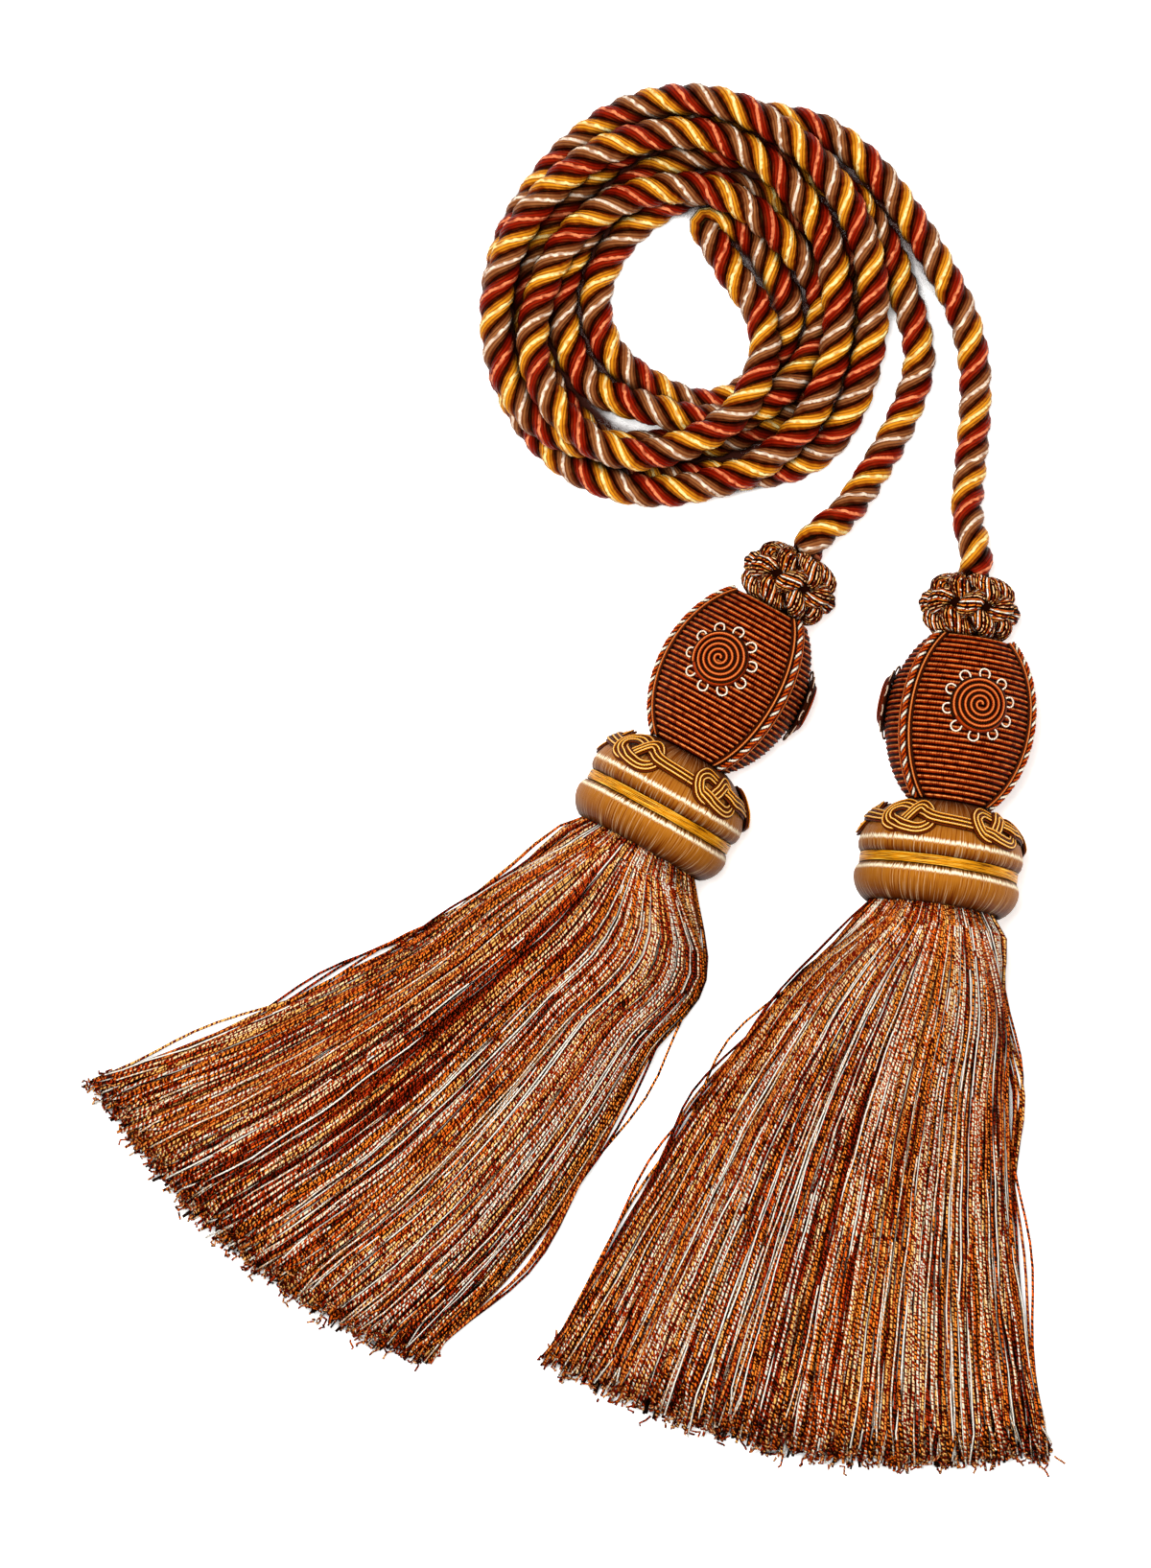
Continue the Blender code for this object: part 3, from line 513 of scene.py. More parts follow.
def paper_sweep():
    """White paper on a light table, which glows a little, with painted shade in the coil's cracks and
    under its turns, where it goes dark brown.
    """
    white = linear("#F6F5F3")
    material, shader, add = new_material(
        "white paper sweep", Roughness=0.9, Specular_IOR_Level=0.1, Emission_Color=white)
    # Painted shade: where little sky is open, in the coil's cracks and in a ring under its turns, the
    # glow stops and the paper goes dark brown.
    open_sky = add("AmbientOcclusion", {"Distance": 12 * MM}, samples=8).outputs["AO"]
    centre = (COIL_CENTRE[0] * MM, COIL_CENTRE[1] * MM, 0.0)
    away = add("VectorMath", (add("TexCoord").outputs["Object"], centre), operation="DISTANCE")
    inner = add("MapRange", (away, 40 * MM, 46 * MM, 0.06, 0.26), **SMOOTH)
    outer = add("MapRange", (away, 60 * MM, 68 * MM, 1.0, 0.0), **SMOOTH)
    under_turns = add("Math", (inner, outer), operation="MULTIPLY")
    open_sky = add("Math", (open_sky, under_turns), operation="SUBTRACT")
    glow = add("MapRange", (open_sky, 0.26, 0.42, 0.0, 0.7), **SMOOTH)
    unshaded_share = add("MapRange", (open_sky, 0.24, 0.4), **SMOOTH)
    colour = add("Mix", (unshaded_share, linear("#2A0C04"), white), **COLOURS)
    feed(shader.inputs["Emission Strength"], glow)
    feed(shader.inputs["Base Color"], colour)
    return material


# Strands: every cord, thread and yarn is a round tube along a line of points, in mm

def ring_frames(lines, middle=None):
    """Directions across each line (count, points, 3): out of a middle line, or without a twist."""
    ahead = np.gradient(lines, axis=1)
    ahead /= np.linalg.norm(ahead, axis=2, keepdims=True)
    if middle is not None:
        out = lines - middle
        out -= ahead * np.sum(out * ahead, axis=2, keepdims=True)
        out /= np.linalg.norm(out, axis=2, keepdims=True)
        return out, np.cross(ahead, out)
    side = np.cross(ahead[:, 0], (0.0, 0.0, 1.0))
    flat = np.linalg.norm(side, axis=1) < 0.05
    side[flat] = np.cross(ahead[flat, 0], (1.0, 0.0, 0.0))
    sides = []
    for step in range(lines.shape[1]):
        side = side - ahead[:, step] * np.sum(side * ahead[:, step], axis=1, keepdims=True)
        side /= np.linalg.norm(side, axis=1, keepdims=True)
        sides.append(side)
    sides = np.stack(sides, axis=1)
    return sides, np.cross(ahead, sides)


START_SPREAD = 10.0                 # how unevenly the twist of each strand starts, in mm


def tube_parts(lines, radii, corners, middle):
    """Points, faces and UVs of tubes round lines (count, points, 3); UV is share round and mm along."""
    count, steps = lines.shape[:2]
    across, up = ring_frames(lines, middle)
    share = (np.arange(corners) + 0.5) / corners
    turn = share * TURN
    out = across[:, :, None] * np.cos(turn)[:, None] + up[:, :, None] * np.sin(turn)[:, None]
    rings = lines[:, :, None] + radii[:, :, None, None] * out
    points = rings.reshape(-1, 3)
    index = np.arange(count * steps * corners).reshape(count, steps, corners)
    ahead = np.roll(index, -1, axis=2)
    walls = np.stack([index[:, :-1], ahead[:, :-1], ahead[:, 1:], index[:, 1:]], axis=-1).reshape(-1, 4)
    along = np.pad(np.cumsum(np.linalg.norm(np.diff(lines, axis=1), axis=2), axis=1), ((0, 0), (1, 0)))
    along += np.random.default_rng(count).uniform(0, START_SPREAD, (count, 1))
    low, high = share, share + 1 / corners
    start, end = along[:, :-1, None], along[:, 1:, None]
    wall_uv = np.stack([np.stack(np.broadcast_arrays(*pair), -1) for pair in
                        ((low, start), (high, start), (high, end), (low, end))], -2).reshape(-1, 2)
    caps = [row[::-1] for row in index[:, 0]] + list(index[:, -1])
    cap_uv = np.concatenate([np.zeros((count * corners, 2)), np.stack(
        [np.tile(share, count), np.repeat(along[:, -1], corners)], -1)])
    return points, walls.tolist() + [list(row) for row in caps], np.concatenate([wall_uv, cap_uv])


def placed(lines, place):
    """Lines in mm moved from a tassel's own frame into the part's."""
    turn, shift = np.array(place)[:3, :3], np.array(place)[:3, 3] / MM
    return np.asarray(lines, float) @ turn.T + shift


def add_strands(name, groups, material, slot, *nodes, place=Matrix()):
    """Make one piece of groups of strands: (lines, middle, radii, corners, tints, plies), all in mm.

    Middle is the line that each strand turns its crest away from. Nothing goes under the floor.
    """
    # Plies are second colours: a ply's dye, or the painted highlight colour of a crest.
    points, faces, uvs, tints, plies = [], [], [], [], []
    total = 0
    for lines, middle, radii, corners, tint, ply in groups:
        lines = placed(lines, place)
        middle = placed(np.broadcast_to(middle, lines.shape), place)
        radii = np.broadcast_to(np.asarray(radii, float), lines.shape[:2])
        lines[:, :, 2] = np.maximum(lines[:, :, 2], radii)
        part_points, part_faces, part_uv = tube_parts(lines, radii, corners, middle)
        faces += [[corner + total for corner in face] for face in part_faces]
        total += len(part_points)
        points.append(part_points)
        uvs.append(part_uv)
        for store, colours in ((tints, tint), (plies, ply)):
            colours = np.array([linear(code) for code in colours])
            store.append(np.repeat(colours, lines.shape[1] * corners, axis=0))
    mesh = bpy.data.meshes.new(name)
    mesh.from_pydata((np.concatenate(points) * MM).tolist(), [], faces)
    layer = mesh.uv_layers.new(name="UVMap")
    layer.data.foreach_set("uv", np.concatenate(uvs).ravel())
    for label, colours in (("tint", tints), ("ply", plies)):
        attribute = mesh.color_attributes.new(label, "FLOAT_COLOR", "POINT")
        attribute.data.foreach_set("color", np.concatenate(colours).ravel())
    mesh.shade_smooth()
    return add_piece(name, mesh, material, slot, *nodes)


def add_object(name, data):
    thing = bpy.data.objects.new(name, data)
    bpy.context.scene.collection.objects.link(thing)
    return thing


def add_piece(name, mesh, material, slot, *nodes):
    mesh.materials.append(material)
    piece = add_object(name, mesh)
    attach(piece, "root")
    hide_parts(*nodes)
    return piece


def distances(line):
    """How far along a line each of its points is."""
    return np.append(0, np.cumsum(np.linalg.norm(np.diff(line, axis=0), axis=1)))


def smooth_line(points, step):
    """Points a step apart on a smooth curve (centripetal Catmull-Rom) through a route."""
    fine = 24
    route = np.array(points, float)
    route = np.vstack([2 * route[0] - route[1], route, 2 * route[-1] - route[-2]])
    dense = []
    for before, start, end, after in zip(route, route[1:], route[2:], route[3:]):
        spans = [np.linalg.norm(b - a) ** 0.5 for a, b in ((before, start), (start, end), (end, after))]
        leave = spans[1] * ((start - before) / spans[0] - (end - before) / (spans[0] + spans[1])
                            + (end - start) / spans[1])
        arrive = spans[1] * ((end - start) / spans[1] - (after - start) / (spans[1] + spans[2])
                             + (after - end) / spans[2])
        for share in np.arange(fine) / fine:
            there = 3 * share ** 2 - 2 * share ** 3
            dense.append(start + (end - start) * there + leave * share * (1 - share) ** 2
                         - arrive * share ** 2 * (1 - share))
    dense.append(route[-2])
    dense = np.array(dense)
    along = distances(dense)
    stations = np.linspace(0, along[-1], round(along[-1] / step) + 1)
    return np.column_stack([np.interp(stations, along, dense[:, axis]) for axis in range(3)])


def lay_up(line, offset, lay, count):
    """Twist strands round a line: their middles, as (count, points, 3)."""
    across, up = ring_frames(line[None])
    turn = (distances(line) * TURN / lay)[:, None] + np.arange(count)[:, None, None] * TURN / count
    return line + offset * (across * np.cos(turn) + up * np.sin(turn))


# Tassel frames and surfaces, in mm in a tassel's own frame: Z along its axis, Y up

def tassel_place(side):
    row = TASSELS[side]
    turn, rise = math.radians(row["turn"]), math.radians(row["rise"])
    axis = Vector((-math.sin(turn) * math.cos(rise), -math.cos(turn) * math.cos(rise), math.sin(rise)))
    across = Vector((0, 0, 1)).cross(axis).normalized()
    frame = Matrix((across, axis.cross(across), axis)).transposed().to_4x4()
    return Matrix.Translation(Vector(row["egg"]) * MM) @ frame


def egg_radius(along):
    return EGG_RADIUS * math.sqrt(max(0.0, 1 - (along / EGG_ELLIPSE) ** 2))


def lifted_point(along, radius, slope, angle, lift):
    """A point on a turned surface, moved off it by a lift. Slope is the radius's, along the axis."""
    size = math.hypot(1, slope)
    reach = radius + lift / size
    return (reach * math.sin(angle), reach * math.cos(angle), along - lift * slope / size)


def egg_point(along, angle, lift):
    radius = egg_radius(along)
    slope = -EGG_RADIUS ** 2 * along / (EGG_ELLIPSE ** 2 * radius)
    return lifted_point(along, radius, slope, angle, lift)


def turned_mesh(name, outline, sides, ring=False, rib=None):
    """Spin an outline of (distance along Z, radius) in mm; UV is share round and row or mm along."""
    bm = bmesh.new()
    verts = [bm.verts.new((0, radius, along)) for along, radius in outline]
    if ring:
        pairs = list(zip(verts, verts[1:] + verts[:1]))
    else:
        verts = ([bm.verts.new((0, 0, outline[0][0]))] + verts
                 + [bm.verts.new((0, 0, outline[-1][0]))])
        pairs = list(zip(verts, verts[1:]))
    edges = [bm.edges.new(pair) for pair in pairs]
    bmesh.ops.spin(bm, geom=verts + edges, cent=(0, 0, 0), axis=(0, 0, 1), angle=TURN, steps=sides,
                   use_merge=True)
    bmesh.ops.remove_doubles(bm, verts=bm.verts, dist=0.001)
    bmesh.ops.recalc_face_normals(bm, faces=bm.faces)
    layer = bm.loops.layers.uv.new("UVMap")
    rows, lengths = np.array(outline), distances(outline)
    for face in bm.faces:
        middle = face.calc_center_median()
        toward = math.atan2(middle.x, middle.y)
        for loop in face.loops:
            x, y, z = loop.vert.co
            radius = math.hypot(x, y)
            turn = math.atan2(x, y) if radius > 0.01 else toward
            turn += TURN * round((toward - turn) / TURN)
            if rib:
                length = z / rib
            else:
                length = lengths[np.argmin((rows[:, 0] - z) ** 2 + (rows[:, 1] - radius) ** 2)]
            loop[layer].uv = (turn / TURN, length)
    mesh = bpy.data.meshes.new(name)
    bm.to_mesh(mesh)
    bm.free()
    mesh.shade_smooth()
    return mesh


# Pieces

def cord_line():
    """The whole cord's middle line, from the left knot by the fold in the coil to the right one."""
    halves = []
    for side, turns in (("left", INNER_TURNS), ("right", OUTER_TURNS)):
        half = [(COIL_CENTRE[0] + radius * math.sin(math.radians(bearing)),
                 COIL_CENTRE[1] + radius * math.cos(math.radians(bearing)), height)
                for bearing, radius, height in turns]
        half += TAILS[side]
        for reach in (ENTRY_STRAIGHT, 0):
            entry = Vector((0, 0, -(KNOT_LENGTH / 2 + GAP + reach) * MM))
            half.append(tuple(knot_place(side) @ entry / MM))
        halves.append(half)
    line = smooth_line(halves[0][::-1] + [FOLD_POINT] + halves[1], ROUTE_STEP)
    line[:, 2] = np.maximum(line[:, 2], CORD_DIAMETER / MM / 2)
    return line


def knot_place(side):
    station = -(EGG_END + GAP + KNOT_LENGTH / 2)
    shift = Matrix.Translation((TASSELS[side]["knot_aside"] * MM, 0, station * MM))
    return tassel_place(side) @ shift


def make_cord(material):
    line = cord_line()
    strands = lay_up(line, STRAND_OFFSET / MM, CORD_LAY / MM, len(STRAND_COLOURS))
    groups = [(strands, line, STRAND_RADIUS / MM, 10, STRAND_COLOURS, STRAND_HIGHLIGHT_COLOURS)]
    piece = add_strands("cord", groups, material, "cord", "rope_coil", "rope_tail_left",
                        "rope_tail_right")


def self_crossings(path, wrap=1e9):
    """Where a flat path crosses itself, in steps along it and in order. Its x may wrap round."""
    skip = 4                        # steps so near along the path that they only touch
    steps = np.diff(path, axis=0)
    found = []
    for first, here in enumerate(steps):
        seconds = np.arange(first + skip, min(len(steps), first + len(steps) - skip + 1))
        there, gap = steps[seconds], path[seconds] - path[first]
        gap[:, 0] -= wrap * np.round(gap[:, 0] / wrap)
        span = here[0] * there[:, 1] - here[1] * there[:, 0]
        span[np.abs(span) < 1e-12] = np.nan
        on_first = (gap[:, 0] * there[:, 1] - gap[:, 1] * there[:, 0]) / span
        on_second = (gap[:, 0] * here[1] - gap[:, 1] * here[0]) / span
        met = (on_first >= 0) & (on_first < 1) & (on_second >= 0) & (on_second < 1)
        found += list(first + on_first[met]) + list(seconds[met] + on_second[met])
    return sorted(found)


def over_and_under(places, crossings, before, after, ends):
    """Heights from -1 to 1 at places on a line, under and over by turns, with soft steps.

    Before and after are the places next to its crossings. Ends is 0 where it lies level there.
    """
    turns = [1.0 if number % 2 else -1.0 for number in range(len(crossings))]
    heights = np.array([turns[-1] * ends] + turns + [turns[0] * ends])
    place = np.interp(places, [before] + crossings + [after], np.arange(len(heights)))
    low = np.clip(place.astype(int), 0, len(heights) - 2)
    ease = 0.5 - 0.5 * np.cos(math.pi * (place - low))
    return heights[low] + (heights[low + 1] - heights[low]) * ease


def make_head_knot(side, material):
    """A ball plaited from one thick lead of mixed threads, over and under itself by turns."""
    turn = np.linspace(0, TURN, LEAD_POINTS + 1)
    around, lean = HEAD_LEADS * turn, np.sin(HEAD_BIGHTS * turn)
    crossings = self_crossings(np.column_stack([around, lean]), TURN)
    over = over_and_under(np.arange(LEAD_POINTS + 1), crossings, crossings[-1] - LEAD_POINTS,
                          crossings[0] + LEAD_POINTS, 1.0)
    middle = KNOT_RADIUS - LEAD_RADIUS - 1.0
    end = np.radians(np.where(lean < 0, KNOT_ENDS[0], KNOT_ENDS[1])) * 0.97
    radius = middle * np.cos(lean * end) ** KNOT_ROUNDNESS + over * LEAD_RISE * np.cos(lean * end)
    line = np.column_stack([radius * np.sin(around), radius * np.cos(around),
                            lean * (KNOT_LENGTH / 2 - LEAD_RADIUS * 0.75)])
    swell = LEAD_RADIUS * (0.78 + 0.26 * over)[:, None]
    tints, plies = zip(*HEAD_COLOURS * 2)
    threads = lay_up(line, swell, LEAD_LAY, len(tints))
    # Painted shade: a near-black core in the lead and a near-black ball fill the knot's inside.
    inside = (("#160201",), ("#160201",))
    core = smooth_line([(0, 0, -KNOT_LENGTH / 2 + 0.8), (0, 0, KNOT_LENGTH / 2 - 0.2)], ROUTE_STEP)
    bulge = (KNOT_RADIUS - 3.6) * np.sqrt(np.maximum(0.12, 1 - (core[:, 2] / (KNOT_LENGTH / 2)) ** 2))
    groups = [(threads, line, THREAD_RADIUS, 4, tints, plies),
              (line[None], (0, 0, 0), LEAD_RADIUS * 0.5, 6, *inside),
              (core[None], (0, -99, 0), bulge[None], 16, *inside)]
    add_strands(f"head_knot_{side}", groups, material, "knot", f"knot_{side}", place=knot_place(side))


def make_egg(side, material):
    """Gimp wound round the egg: each turn is a round rib with a thin cord beside it, coloured darker
    into the painted shade of the gap after it.
    """
    gimp, cord, gimp_rise, cord_rise = 0.55, 0.25, 0.55, 0.35
    outline = []
    for row in range(round(2 * EGG_END / RIB_PITCH) * RIB_ROWS + 1):
        along = -EGG_END + row * RIB_PITCH / RIB_ROWS
        share = row % RIB_ROWS / RIB_ROWS
        rise = (gimp_rise * math.sin(math.pi * share / gimp) if share < gimp
                else cord_rise * math.sin(math.pi * (share - gimp) / cord) if share < gimp + cord
                else 0.0)
        outline.append((along, egg_radius(along) - 0.35 + rise))
    mesh = turned_mesh(f"ribbed_egg_{side}", outline, EGG_SIDES, rib=RIB_PITCH)
    mesh.transform(tassel_place(side) @ Matrix.Scale(MM, 4))
    add_piece(f"ribbed_egg_{side}", mesh, material, "egg", f"egg_{side}")


def make_border(side, number, degrees, material):
    """A twisted cord between two panels, with wrapped cords along each side of it."""
    middle = math.radians(degrees)
    stations = np.linspace(-EGG_END + 0.4, EGG_END - 0.4, 90)

    def laid(offset, lift):
        return np.array([egg_point(along, middle + offset / egg_radius(along), lift)
                         for along in stations])

    line, below = laid(0, 1.0), laid(0, -4.0)
    # Second colours here are the painted highlight colours on the cords' crests.
    groups = [(lay_up(line, 0.5, 5.0, 3), line, 0.52, 6, (CREAM, DEEP_RED, RUST),
               (CREAM, ORANGE, ORANGE))]
    groups += [([laid(-aside, lift), laid(aside, lift)], below, radius, 6, (tint,) * 2, (crest,) * 2)
               for aside, lift, radius, tint, crest in BORDER_SIDES]
    add_strands(f"border_cord_{side}_{number}", groups, material, "border",
                f"border_{side}_{number}", place=tassel_place(side))


def make_medallion(side, number, degrees, material):
    """A coil of gimp with a near-black cord of painted shade between its turns, in a rim of gimp with
    picot loops.
    """
    middle = math.radians(degrees)

    def over_egg(path, lift):
        stations = [MEDALLION_STATION + radius * math.cos(turn) for radius, turn in path]
        return [egg_point(along, middle + radius * math.sin(turn) / egg_radius(along), lift)
                for along, (radius, turn) in zip(stations, path)]

    coil = [(COIL_PITCH * turn, TURN * turn) for turn in np.linspace(*COIL_TURNS, 190)]
    between = [(radius + COIL_PITCH / 2, turn) for radius, turn in coil]
    rim = [(RIM_RADIUS, turn) for turn in np.linspace(0, TURN, 60)]
    picots = [[(reach, TURN * (loop + 0.9) / PICOTS + aside / reach)
               for reach, aside, _ in smooth_line(PICOT_LOOP, 0.5)] for loop in range(PICOTS)]
    # Each cord's second colour is the painted highlight on its crest; the near-black cord between the
    # coil's turns is painted shade.
    groups = [([over_egg(path, lift) for path in paths], [over_egg(path, -4.0) for path in paths],
               radius, corners, (tint,) * len(paths), (crest,) * len(paths))
              for paths, lift, radius, corners, tint, crest in (
                  ([coil], 2.6, 0.56, 6, "#9A2C06", "#E07E3C"),
                  ([between], 1.9, 0.62, 5, "#1E0502", "#1E0502"),
                  ([rim], 1.5, 0.95, 8, "#6A1804", "#A03408"),
                  (picots, 1.5, 0.34, 6, "#E8C8A8", "#FFF4E4"))]
    add_strands(f"medallion_coil_{side}_{number}", groups, material, "medallion",
                f"medallion_{side}_{number}", place=tassel_place(side))


def add_on_cap(name, mesh, side, material, slot):
    """Add a mesh, in mm from the cap's top, as the piece that stands for the slot's node."""
    mesh.transform(tassel_place(side) @ Matrix.Translation((0, 0, CAP_START * MM))
                   @ Matrix.Scale(MM, 4))
    add_piece(name, mesh, material, slot, f"{slot}_{side}")


def make_cap(side, material):
    """Both rolls of the cap in one turned body, with a ridge for each bundle of thread."""
    outline = list(CAP_TOP) + list(CAP_FOOT)
    fine = []
    for start, end in zip(outline, outline[1:]):
        steps = 3 if math.dist(start, end) > 0.9 else 1
        fine += [(start[0] + (end[0] - start[0]) * share, start[1] + (end[1] - start[1]) * share)
                 for share in np.arange(steps) / steps]
    mesh = turned_mesh(f"satin_cap_{side}", fine + [outline[-1]], CAP_SIDES)
    for vert in mesh.vertices:
        if math.hypot(vert.co.x, vert.co.y) > 12:
            ridge = 1 + RIDGE_DEPTH * math.sin(CAP_RIDGES * math.atan2(vert.co.x, vert.co.y))
            vert.co.x *= ridge
            vert.co.y *= ridge
    add_on_cap(f"satin_cap_{side}", mesh, side, material, "cap")


def make_band(side, material):
    """Wire-fine metal thread wound in rounds in the groove between the rolls."""
    outline = [(BAND_START + BAND_WIDTH, BAND_BED), (BAND_START, BAND_BED)]
    for share in np.linspace(0, 1, BAND_ROUNDS * BAND_ROWS + 1):
        outline.append((BAND_START + BAND_WIDTH * share,
                        BAND_TOP + 0.22 * abs(math.sin(math.pi * share * BAND_ROUNDS))))
    mesh = turned_mesh(f"metal_band_{side}", outline, 96, ring=True)
    add_on_cap(f"metal_band_{side}", mesh, side, material, "band")


def cap_point(along, angle, lift):
    """A point over the cap's upper roll, by its distance from the top and its lift."""
    rows = np.array(CAP_TOP)
    before, radius, after = np.interp((along - 0.4, along, along + 0.4), rows[:, 0], rows[:, 1])
    return lifted_point(CAP_START + along, radius, (after - before) / 0.8, angle, lift)


def make_trim(side, material):
    """A gimp cord of three strands tied in flat knots and laid round the cap's shoulder."""
    spacing = TURN * TRIM_REACH / TRIM_KNOTS
    route = [(x + knot * spacing, y, 0.0) for knot in range(TRIM_KNOTS) for x, y in TRIM_ROUTE]
    route.append((route[0][0] + TRIM_KNOTS * spacing, route[0][1], 0.0))
    line = smooth_line(route, 0.6)
    along = distances(line)
    crossings = list(np.interp(self_crossings(line[:, :2]), np.arange(len(line)), along))
    height = TRIM_RISE * over_and_under(along, crossings, crossings[0] - 4.0, crossings[-1] + 4.0, 0.0)
    ahead = np.gradient(line[:, :2], axis=0)
    ahead /= np.linalg.norm(ahead, axis=1, keepdims=True)
    first = math.radians(TASSELS[side]["trim"])

    def beside(aside, lift):
        flat = line[:, :2] + aside * np.column_stack([-ahead[:, 1], ahead[:, 0]])
        return np.array([cap_point(TRIM_STATION + y, first + x / TRIM_REACH, lift + rise)
                         for (x, y), rise in zip(flat, height)])

    below = beside(0, -5.0)
    gold, shade = (-1.2, 0.0, 1.2), (-1.7, -0.6, 0.6, 1.7)
    # The gold cords' second colour is the painted highlight on their crests; the dark cords beside and
    # between them, set lower, are painted shade.
    groups = [([beside(aside, 1.4) for aside in gold], below, 0.36, 6,
               ("#F09210", "#FFA816", "#F09210"), ("#FFE290",) * 3),
              ([beside(aside, 1.5 - abs(aside) * 0.45) for aside in shade], below, 0.42, 5,
               ("#5A1C04",) * 4, ("#5A1C04",) * 4)]
    add_strands(f"knotted_trim_{side}", groups, material, "trim", f"trim_{side}",
                place=tassel_place(side))


def cut_edge(side):
    """The flat direction along a skirt's cut ends, from left to right."""
    row = SKIRTS[side]["rows"][-1]
    chord = np.subtract(row[3:5], row[1:3])
    return chord / np.linalg.norm(chord)


def skirt_points(side, across, height):
    """Where yarns run: heading, lip, flare and the skirt's rows, as (points, yarns, 3) in mm."""
    disc = np.column_stack([across * np.sqrt(1 - height ** 2 / 2),
                            height * np.sqrt(1 - across ** 2 / 2)])
    drop, reach = CAP_START + CAP_LENGTH - HEADING_DEPTH, HEADING_RADIUS - 0.9
    sections = []
    for more_drop, more_reach in ((0, 0), (LIP_DROP, 0), (FLARE_DROP, FLARE_OUT)):
        drop, reach = drop + more_drop, reach + more_reach
        ring = np.column_stack([disc * reach, np.full(len(disc), drop)])
        sections.append(placed(ring, tassel_place(side)))
    bow = SKIRTS[side]["bow"]
    for share, *edges, low, high in SKIRTS[side]["rows"]:
        left, right = np.array(edges).reshape(2, 2)
        chord = right - left
        outward = np.array((chord[1], -chord[0])) / np.linalg.norm(chord)
        ground = (left + chord * ((across + 1) / 2)[:, None]
                  + outward * (bow * share ** 2 * (1 - across ** 2))[:, None])
        crown = (high - low) * (1 - CROWN_FALL * across ** 4)
        sections.append(np.column_stack([ground, low + crown * (height + 1) / 2]))
    return np.array(sections)


def run_yarns(side, across, height, lengths):
    """Smooth lines through the skirt, each as long as its share says: (yarns, steps, 3)."""
    sections = skirt_points(side, across, height)
    knots = np.array(HEADING_SHARES + tuple(row[0] for row in SKIRTS[side]["rows"]))
    slopes = np.gradient(sections, knots, axis=0)
    yarns = np.arange(len(lengths))
    lines = []
    for step in range(YARN_STEPS):
        share = lengths * (step / (YARN_STEPS - 1)) ** 1.15
        span = np.clip(np.searchsorted(knots, share, side="right") - 1, 0, len(knots) - 2)
        wide = knots[span + 1] - knots[span]
        t = ((share - knots[span]) / wide)[:, None]
        wide = wide[:, None]
        p0, p1 = sections[span, yarns], sections[span + 1, yarns]
        m0, m1 = slopes[span, yarns] * wide, slopes[span + 1, yarns] * wide
        lines.append((2 * t ** 3 - 3 * t ** 2 + 1) * p0 + (t ** 3 - 2 * t ** 2 + t) * m0
                     + (3 * t ** 2 - 2 * t ** 3) * p1 + (t ** 3 - t ** 2) * m1)
    return np.stack(lines, axis=1)


def stray_yarns(side, draw):
    """A few yarns at each edge that stand off from the rest."""
    reach = np.linspace(0, 1, YARN_STEPS)
    lines = []
    for edge in (-1.0, 1.0):
        height = draw.uniform(-0.6, 0.6, STRAY_YARNS)
        run = run_yarns(side, np.full(STRAY_YARNS, edge), height,
                        1 - draw.uniform(0, 0.05, STRAY_YARNS))
        for line in run:
            middle, size = draw.uniform(0.2, 0.8), draw.uniform(0.8, 6.5)
            swell = size * np.exp(-((reach - middle) / 0.14) ** 2)
            line[:, :2] += swell[:, None] * edge * cut_edge(side)
        lines.append(run)
    return np.concatenate(lines)


def body_yarns(side, draw):
    """The skirt's body of yarns in layers, and the direction out of the skirt at each."""
    layers = len(LAYER_HEIGHTS)
    across, height = np.meshgrid(np.linspace(-1, 1, SKIRT_YARNS), LAYER_HEIGHTS, indexing="ij")
    across = (across + (np.arange(layers) % 2 - 0.5)[None] / SKIRT_YARNS).ravel()
    count = len(across)
    across = np.clip(across + draw.normal(0, 0.006, count), -1, 1)
    height = np.clip(height.ravel() + draw.normal(0, 0.18, count), -1, 1)
    clumps = np.sin(across * 23 + height * 2) + 0.7 * np.sin(across * 61 + height * 5)
    lengths = 0.988 - np.abs(draw.normal(0, 0.012, count)) - 0.006 * clumps
    lines = run_yarns(side, across, height, lengths)
    reach = np.linspace(0, 1, YARN_STEPS)
    phase = draw.uniform(0, TURN, (count, 4))
    for axis, share in enumerate((1.0, 1.0, 0.7)):
        own = phase[:, axis:axis + 1]
        sway = sum(size * np.sin(reach * TURN * waves + start) for waves, size, start in
                   ((1.3, 0.55, own), (3.1, 0.35, phase[:, 3:]), (6.3, 0.3, own * 2)))
        lines[:, :, axis] += sway * reach ** 0.6 * share
    lines[:, -1] += draw.normal(0, 1.3, (count, 3)) * (1, 1, 0.5)
    return lines, np.column_stack([across[:, None] ** 3 * cut_edge(side), height + 0.3])


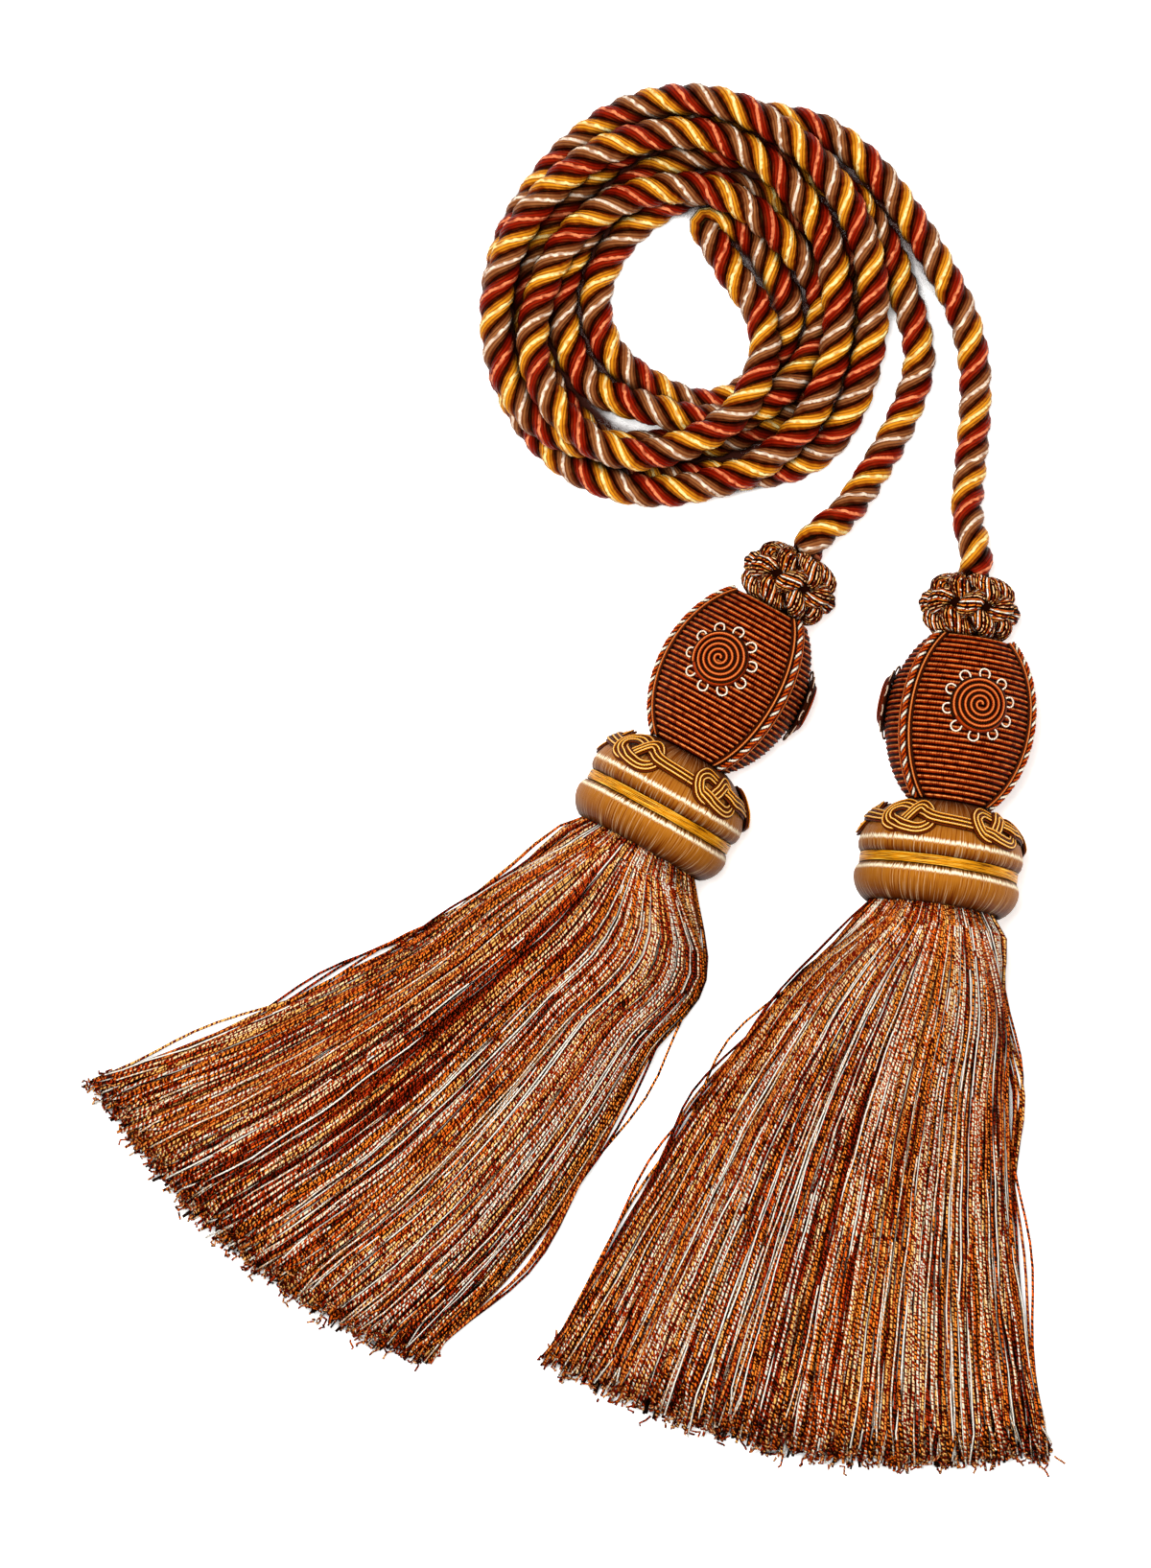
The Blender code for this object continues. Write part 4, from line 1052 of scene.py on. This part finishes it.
def make_skirt(side, material):
    """Cut yarns that leave the cap in a round bunch and lie in a fan, with frayed cut ends."""
    draw = np.random.default_rng(TASSELS[side]["seed"])
    lines, outward = body_yarns(side, draw)
    strays = stray_yarns(side, draw)
    lines = np.concatenate([lines, strays])
    outward = np.concatenate([outward, np.tile((0, 0, 1), (len(strays), 1))])
    steps = draw.integers(4, 8, (SKIRT_YARNS, len(LAYER_HEIGHTS)))
    picks = np.cumsum(steps, axis=0).ravel() % len(YARN_COLOURS)
    picks = np.append(picks, draw.integers(3, 9, len(strays)))
    tints, plies = zip(*(YARN_COLOURS[pick] for pick in picks))
    widths = np.where(picks < CREAM_YARNS, CREAM_WIDTH, 1.0)[:, None]
    radii = np.linspace(*YARN_RADII, YARN_STEPS) * widths
    frayed = draw.integers(0, len(lines), FRAYED_ENDS)
    curls = lines[frayed, -1][:, None] + np.cumsum(draw.normal(0, 0.9, (FRAYED_ENDS, 4, 3)), axis=1)
    fray = [FRAY_COLOURS[number % len(FRAY_COLOURS)] for number in range(FRAYED_ENDS)]
    groups = [(lines, lines - outward[:, None] * 50, radii, 3, tints, plies),
              (curls, curls - (0, 0, 50), 0.38, 3, *zip(*fray))]
    add_strands(f"yarn_skirt_{side}", groups, material, "skirt", f"skirt_{side}")


# Stage

# Name, place and size in metres, and watts
LAMPS = (("key", (-0.20, 0.32, 2.4), 0.6, 84.0), ("fill", (1.3, -0.4, 1.3), 1.2, 3.0))


def make_stage():
    """A pale floor, a soft key light from the top left, and an even white surround."""
    floor = bpy.data.meshes.new("floor")
    bm = bmesh.new()
    bmesh.ops.create_grid(bm, x_segments=1, y_segments=1, size=4.0)
    bmesh.ops.translate(bm, verts=bm.verts, vec=(0, 0, -0.2 * MM))
    bm.to_mesh(floor)
    bm.free()
    floor.materials.append(paper_sweep())
    add_object("floor", floor)
    for name, place, size, power in LAMPS:
        lamp = bpy.data.lights.new(name, "AREA")
        lamp.size = size
        lamp.energy = power
        source = add_object(name, lamp)
        source.location = place
        aim = Vector((VIEW_MIDDLE[0], VIEW_MIDDLE[1], 0)) - source.location
        source.rotation_euler = aim.to_track_quat("-Z", "Y").to_euler()
    world = bpy.context.scene.world or bpy.data.worlds.new("studio")
    bpy.context.scene.world = world
    world.use_nodes = True
    backdrop = world.node_tree.nodes["Background"]
    backdrop.inputs["Color"].default_value = (1.0, 1.0, 1.0, 1.0)
    backdrop.inputs["Strength"].default_value = 0.16
    bpy.context.scene.view_settings.view_transform = "Standard"


def make_camera():
    lens = bpy.data.cameras.new("camera")
    lens.sensor_fit = "VERTICAL"
    lens.angle = 2 * math.atan(VIEW_HEIGHT / 2 / CAMERA_HEIGHT)
    camera = add_object("camera", lens)
    camera.location = (*VIEW_MIDDLE, CAMERA_HEIGHT)
    bpy.context.scene.camera = camera


make_camera()
strand, gimp = viscose_strand(), gimp_cord()
yarn = twisted_yarn("two-ply skirt yarn", 1.6, 2.0 * MM)
knot_yarn = twisted_yarn("two-ply knotting yarn", 3.4, 9.0 * MM)
ribs, satin, metal = ribbed_gimp(), laid_satin(), metal_thread()
make_cord(strand)
for side, row in TASSELS.items():
    make_head_knot(side, knot_yarn)
    make_egg(side, ribs)
    for number in range(3):
        make_medallion(side, number + 1, row["panel"] + number * PANEL_ANGLE, gimp)
        make_border(side, number + 1, row["panel"] + (number + 0.5) * PANEL_ANGLE, gimp)
    make_cap(side, satin)
    make_band(side, metal)
    make_trim(side, gimp)
    make_skirt(side, yarn)
make_stage()
